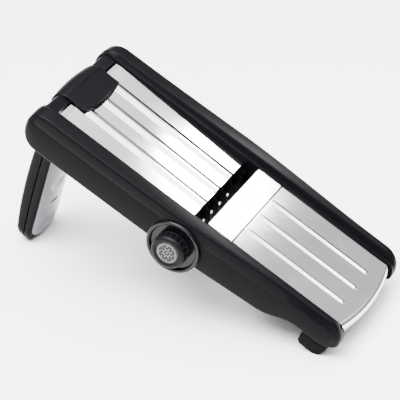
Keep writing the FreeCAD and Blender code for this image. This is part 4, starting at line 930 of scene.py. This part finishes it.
def make_knob():
    """Drum with grip ribs between its flange and its rounded front rim, and a recess for the dial."""
    front, rim = KNOB_FRONT, KNOB_RIM_ROUND
    sizes = {"Count": 20, "Drum radius": KNOB_R - 0.85, "Rib radius": 1.25, "Rib length": 9.6}
    ribs = grown(grip_ribs_tree(), sizes, TPE, "knob_ribs")
    ribs.transform(FACING_NEAR @ Matrix.Translation((0, 0, KNOB_BACK + 0.3 + 0.5 * sizes["Rib length"])))
    profile = [(CENTRE_R, KNOB_BACK), (KNOB_R - 0.4, KNOB_BACK), (KNOB_R + 0.2, KNOB_BACK + 0.5),
               (KNOB_R + 0.2, KNOB_BACK + 1.4), (KNOB_R - 0.9, KNOB_BACK + 2.2), (KNOB_R - 0.9, front - 5.6),
               (KNOB_R - 0.2, front - 4.6)]
    for k in range(10):
        a = math.radians(10.0 * k)
        profile.append((KNOB_R - rim + rim * math.cos(a), front - rim + rim * math.sin(a)))
    profile += [(DIAL_R + 0.9, front), (DIAL_R + 0.35, front - 0.25), (DIAL_R + 0.15, front - 0.8),
                (DIAL_R + 0.1, front - DIAL_RECESS), (CENTRE_R, front - DIAL_RECESS)]
    body = mesh_of("knob_body", *skin(turned(profile)), STAND)
    work = bmesh.new()
    work.from_mesh(body)
    work.from_mesh(ribs)
    work.to_mesh(body)
    work.free()
    show("knob_body", body, TPE, "lift_knob", ["knob"], 40)


def make_dial_disc():
    back = DIAL_FACE - 1.2
    disc = [(CENTRE_R, back), (DIAL_R, back), (DIAL_R, DIAL_FACE - 0.3), (DIAL_R - 0.3, DIAL_FACE),
            (CENTRE_R, DIAL_FACE)]
    mesh = mesh_of("dial_disc", *skin(turned(disc)), STAND)
    show("dial_disc", mesh, GLOSS, "lift_knob", ["dial_insert"], 40)


def dial_ticks_tree():
    """Short printed strokes round a circle, each pointing at the middle."""
    sizes = {"Count": 24, "Ring radius": 9.0, "Stroke length": 1.4, "Stroke width": 0.4, "Ink": 0.06}
    tree, size = group_tree("dial_ticks", sizes)
    circle = add(tree, "GeometryNodeMeshCircle", {"Vertices": size["Count"],
                                                  "Radius": size["Ring radius"]})
    extent = add(tree, "ShaderNodeCombineXYZ", {"X": size["Stroke length"], "Y": size["Stroke width"],
                                                "Z": size["Ink"]})
    stroke = add(tree, "GeometryNodeMeshCube", {"Size": extent.outputs[0]})
    at = add(tree, "ShaderNodeSeparateXYZ", {0: add(tree, "GeometryNodeInputPosition").outputs[0]})
    angle = calc(tree, "ARCTAN2", at.outputs[1], at.outputs[0])
    spin = add(tree, "ShaderNodeCombineXYZ", {"Z": angle})
    turn = add(tree, "FunctionNodeEulerToRotation", {0: spin.outputs[0]})
    placed = add(tree, "GeometryNodeInstanceOnPoints", {"Points": circle.outputs[0],
                                                        "Instance": stroke.outputs[0],
                                                        "Rotation": turn.outputs[0]})
    return closed_tree(tree, placed.outputs[0], INK)


def printed_ring(inner, outer, ink=0.06, count=96):
    """Flat printed ring as a thin closed band."""
    turns = [2.0 * math.pi * k / count for k in range(count)]
    points, faces = [], []
    for r, z in ((inner, 0.0), (outer, 0.0), (outer, ink), (inner, ink)):
        points += [(r * math.cos(a), r * math.sin(a), z) for a in turns]
    for j in range(4):
        here, after = j * count, (j + 1) % 4 * count
        for k in range(count):
            beside = (k + 1) % count
            faces.append((here + k, here + beside, after + beside, after + k))
    made = bpy.data.meshes.new("printed_ring")
    made.from_pydata(points, [], faces)
    return made


def printed_number(text, size_mm, x, y):
    """A printed numeral as a thin mesh, centred on x, y."""
    curve = bpy.data.curves.new("numeral", "FONT")
    curve.body = text
    curve.size = size_mm
    curve.extrude = 0.03
    curve.align_x = "CENTER"
    curve.align_y = "CENTER"
    holder = in_scene("numeral", curve)
    made = evaluated(holder, "numeral_" + text)
    made.transform(Matrix.Translation((x, y, 0.03)))
    return made


def make_dial_marks():
    """Numbers 1 to 8 round the dial with 0 in its middle, two rings, and strokes between them."""
    work = bmesh.new()
    tree = dial_ticks_tree()
    for count, radius, length, width in ((40, 10.6, 0.9, 0.35), (8, 5.3, 2.4, 0.5)):
        sizes = {"Count": count, "Ring radius": radius, "Stroke length": length, "Stroke width": width,
                 "Ink": INK_DEPTH}
        work.from_mesh(grown(tree, sizes, INK, "dial_strokes"))
    for inner, outer in ((9.35, 9.75), (3.2, 3.6)):
        work.from_mesh(printed_ring(inner, outer))
    for i in range(8):
        angle = math.radians(67.5 - 45.0 * i)
        work.from_mesh(printed_number(str(i + 1), 3.0, 7.6 * math.cos(angle), 7.6 * math.sin(angle)))
    work.from_mesh(printed_number("0", 3.4, 0.0, 0.0))
    bmesh.ops.recalc_face_normals(work, faces=work.faces)
    made = bpy.data.meshes.new("dial_marks")
    work.to_mesh(made)
    work.free()
    made.transform(FACING_NEAR @ Matrix.Translation((0, 0, DIAL_FACE)))
    made.materials.append(INK)
    piece = in_scene("dial_marks", made)
    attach(piece, "lift_knob")


# ---- everything else ------------------------------------------------------------------------------
def make_plain_pieces():
    """Inner pieces keep their CAD shape, smooth-shaded, with their edges eased."""
    for node, material, body, bevel in (
        ("blade_holder", ABS, "frame", 0.3), ("landing_support", ABS, "frame", 0.3),
        ("runway_carrier", ABS, "runway", 0.3), ("front_feet", RUBBER, "frame", 0.8),
        ("tie_rods", PLAIN, "frame", 0.0), ("blade_screws", PLAIN, "frame", 0.0),
        ("landing_screws", PLAIN, "frame", 0.0), ("runway_screws", PLAIN, "runway", 0.0),
        ("runway_hinge_pins", PLAIN, "runway", 0.0), ("leg_screws", PLAIN, "leg", 0.0),
        ("cam_shaft", OXIDE, "lift_knob", 0.2), ("shaft_clip", PLAIN, "lift_knob", 0.0),
        ("detent_spring", PLAIN, "frame", 0.0), ("detent_wheel", NYLON, "lift_knob", 0.0),
        ("lift_cams", NYLON, "lift_knob", 0.2), ("follower_pads", NYLON, "runway", 0.2),
        ("shaft_bushes", NYLON, "frame", 0.0),
    ):
        softened(node, material, body, bevel)


# ---- stage, light and camera ----------------------------------------------------------------------
def make_stage():
    """A wide pale board under the slicer."""
    half = 6.0
    corners = [(-half, -half, 0), (half, -half, 0), (half, half, 0), (-half, half, 0)]
    mesh = bpy.data.meshes.new("table_top")
    mesh.from_pydata(corners, [], [(0, 1, 2, 3)])
    mesh.materials.append(BOARD)
    top = in_scene("table_top", mesh)


def softbox(name, place, aim, size, watts):
    """A rectangular soft light at a place, turned towards what it lights."""
    light = bpy.data.lights.new(name, "AREA")
    light.shape = "RECTANGLE"
    light.size, light.size_y = size
    light.energy = watts
    lamp = in_scene(name, light)
    lamp.location = place
    lamp.rotation_mode = "QUATERNION"
    lamp.rotation_quaternion = (Vector(aim) - Vector(place)).to_track_quat("-Z", "Y")


SKY_STRENGTH = 11.0
SKY_LEVELS = ((0.03, 0.05), (0.33, 0.06), (0.5, 0.16), (0.7, 0.26), (0.82, 1.0))   # height, brightness
PATCH_SHARE, PATCH_SCALE, PATCH_DARK = 0.8, 10.0, 0.16


def make_light():
    """White studio: bright overhead, dark near the horizon, with soft patches that the steel picks up."""
    world = bpy.data.worlds.new("studio")
    bpy.context.scene.world = world
    world.use_nodes = True
    tree = world.node_tree
    where = add(tree, "ShaderNodeTexCoord")
    up = add(tree, "ShaderNodeSeparateXYZ", {0: where.outputs["Generated"]})
    shade = add(tree, "ShaderNodeValToRGB", {"Fac": up.outputs["Z"]})
    stops = shade.color_ramp.elements
    stops[0].position, stops[0].color = 0.0, grey(0.5)
    stops[1].position, stops[1].color = 1.0, grey(1.0)
    for height, level in SKY_LEVELS:
        stop = stops.new(height)
        stop.color = grey(level)
    clouds = add(tree, "ShaderNodeTexNoise", {"Vector": where.outputs["Generated"], "Scale": PATCH_SCALE,
                                              "Detail": 0.0})
    patches = ramp(tree, clouds.outputs["Fac"], 0.42, 0.56, grey(PATCH_DARK), grey(1.0))
    sky = add(tree, "ShaderNodeMix", {"Factor": PATCH_SHARE, 6: shade.outputs["Color"], 7: patches},
              data_type="RGBA", blend_type="MULTIPLY")
    background = tree.nodes["Background"]
    tree.links.new(sky.outputs[2], background.inputs["Color"])
    background.inputs["Strength"].default_value = SKY_STRENGTH
    softbox("key_over", (-0.3, -0.6, 1.6), (0, 0, 0.05), (1.4, 1.2), 110.0)
    softbox("sheen_far", (0.15, 0.459, 0.475), (0.05, 0.05, 0.1), (0.1, 0.08), 2.2)


CAMERA_AZIMUTH, CAMERA_ELEVATION, CAMERA_ROLL = 27.0, 32.23, -0.2
CAMERA_DISTANCE = 2.2
CAMERA_SENSOR = 36.0
CAMERA_LENS = 5.4735 * CAMERA_SENSOR
CAMERA_AIM = (150.6, -9.63, -31.84)
CAMERA_OFFSET = (0.00664, 0.00333)


def make_camera():
    """Long lens from above and to the near side of the slot."""
    a, e = math.radians(CAMERA_AZIMUTH), math.radians(CAMERA_ELEVATION)
    back = Vector((math.sin(a) * math.cos(e), -math.cos(a) * math.cos(e), math.sin(e)))
    right = Vector((0, 0, 1)).cross(back).normalized()
    up = back.cross(right)
    facing = Matrix((right, up, back)).transposed().to_4x4()
    turn = facing @ Matrix.Rotation(math.radians(CAMERA_ROLL), 4, "Z")
    data = bpy.data.cameras.new("camera")
    data.lens = CAMERA_LENS
    data.sensor_width = CAMERA_SENSOR
    data.clip_end = 50.0
    camera = in_scene("camera", data)
    aim = STAND @ Vector(CAMERA_AIM) + right * CAMERA_OFFSET[0] + up * CAMERA_OFFSET[1]
    camera.matrix_world = Matrix.Translation(aim + back * CAMERA_DISTANCE) @ turn
    bpy.context.scene.camera = camera


def main():
    make_rails()
    make_end_cap()
    make_guide_fins()
    ribs = ribbed_sheet_tree()
    make_runway_plate(ribs)
    make_landing_plate(ribs)
    make_blade()
    make_leg_shells()
    make_hook()
    make_grip_plate()
    make_bezel()
    make_knob()
    make_dial_disc()
    make_dial_marks()
    make_plain_pieces()
    make_stage()
    make_light()
    make_camera()


main()
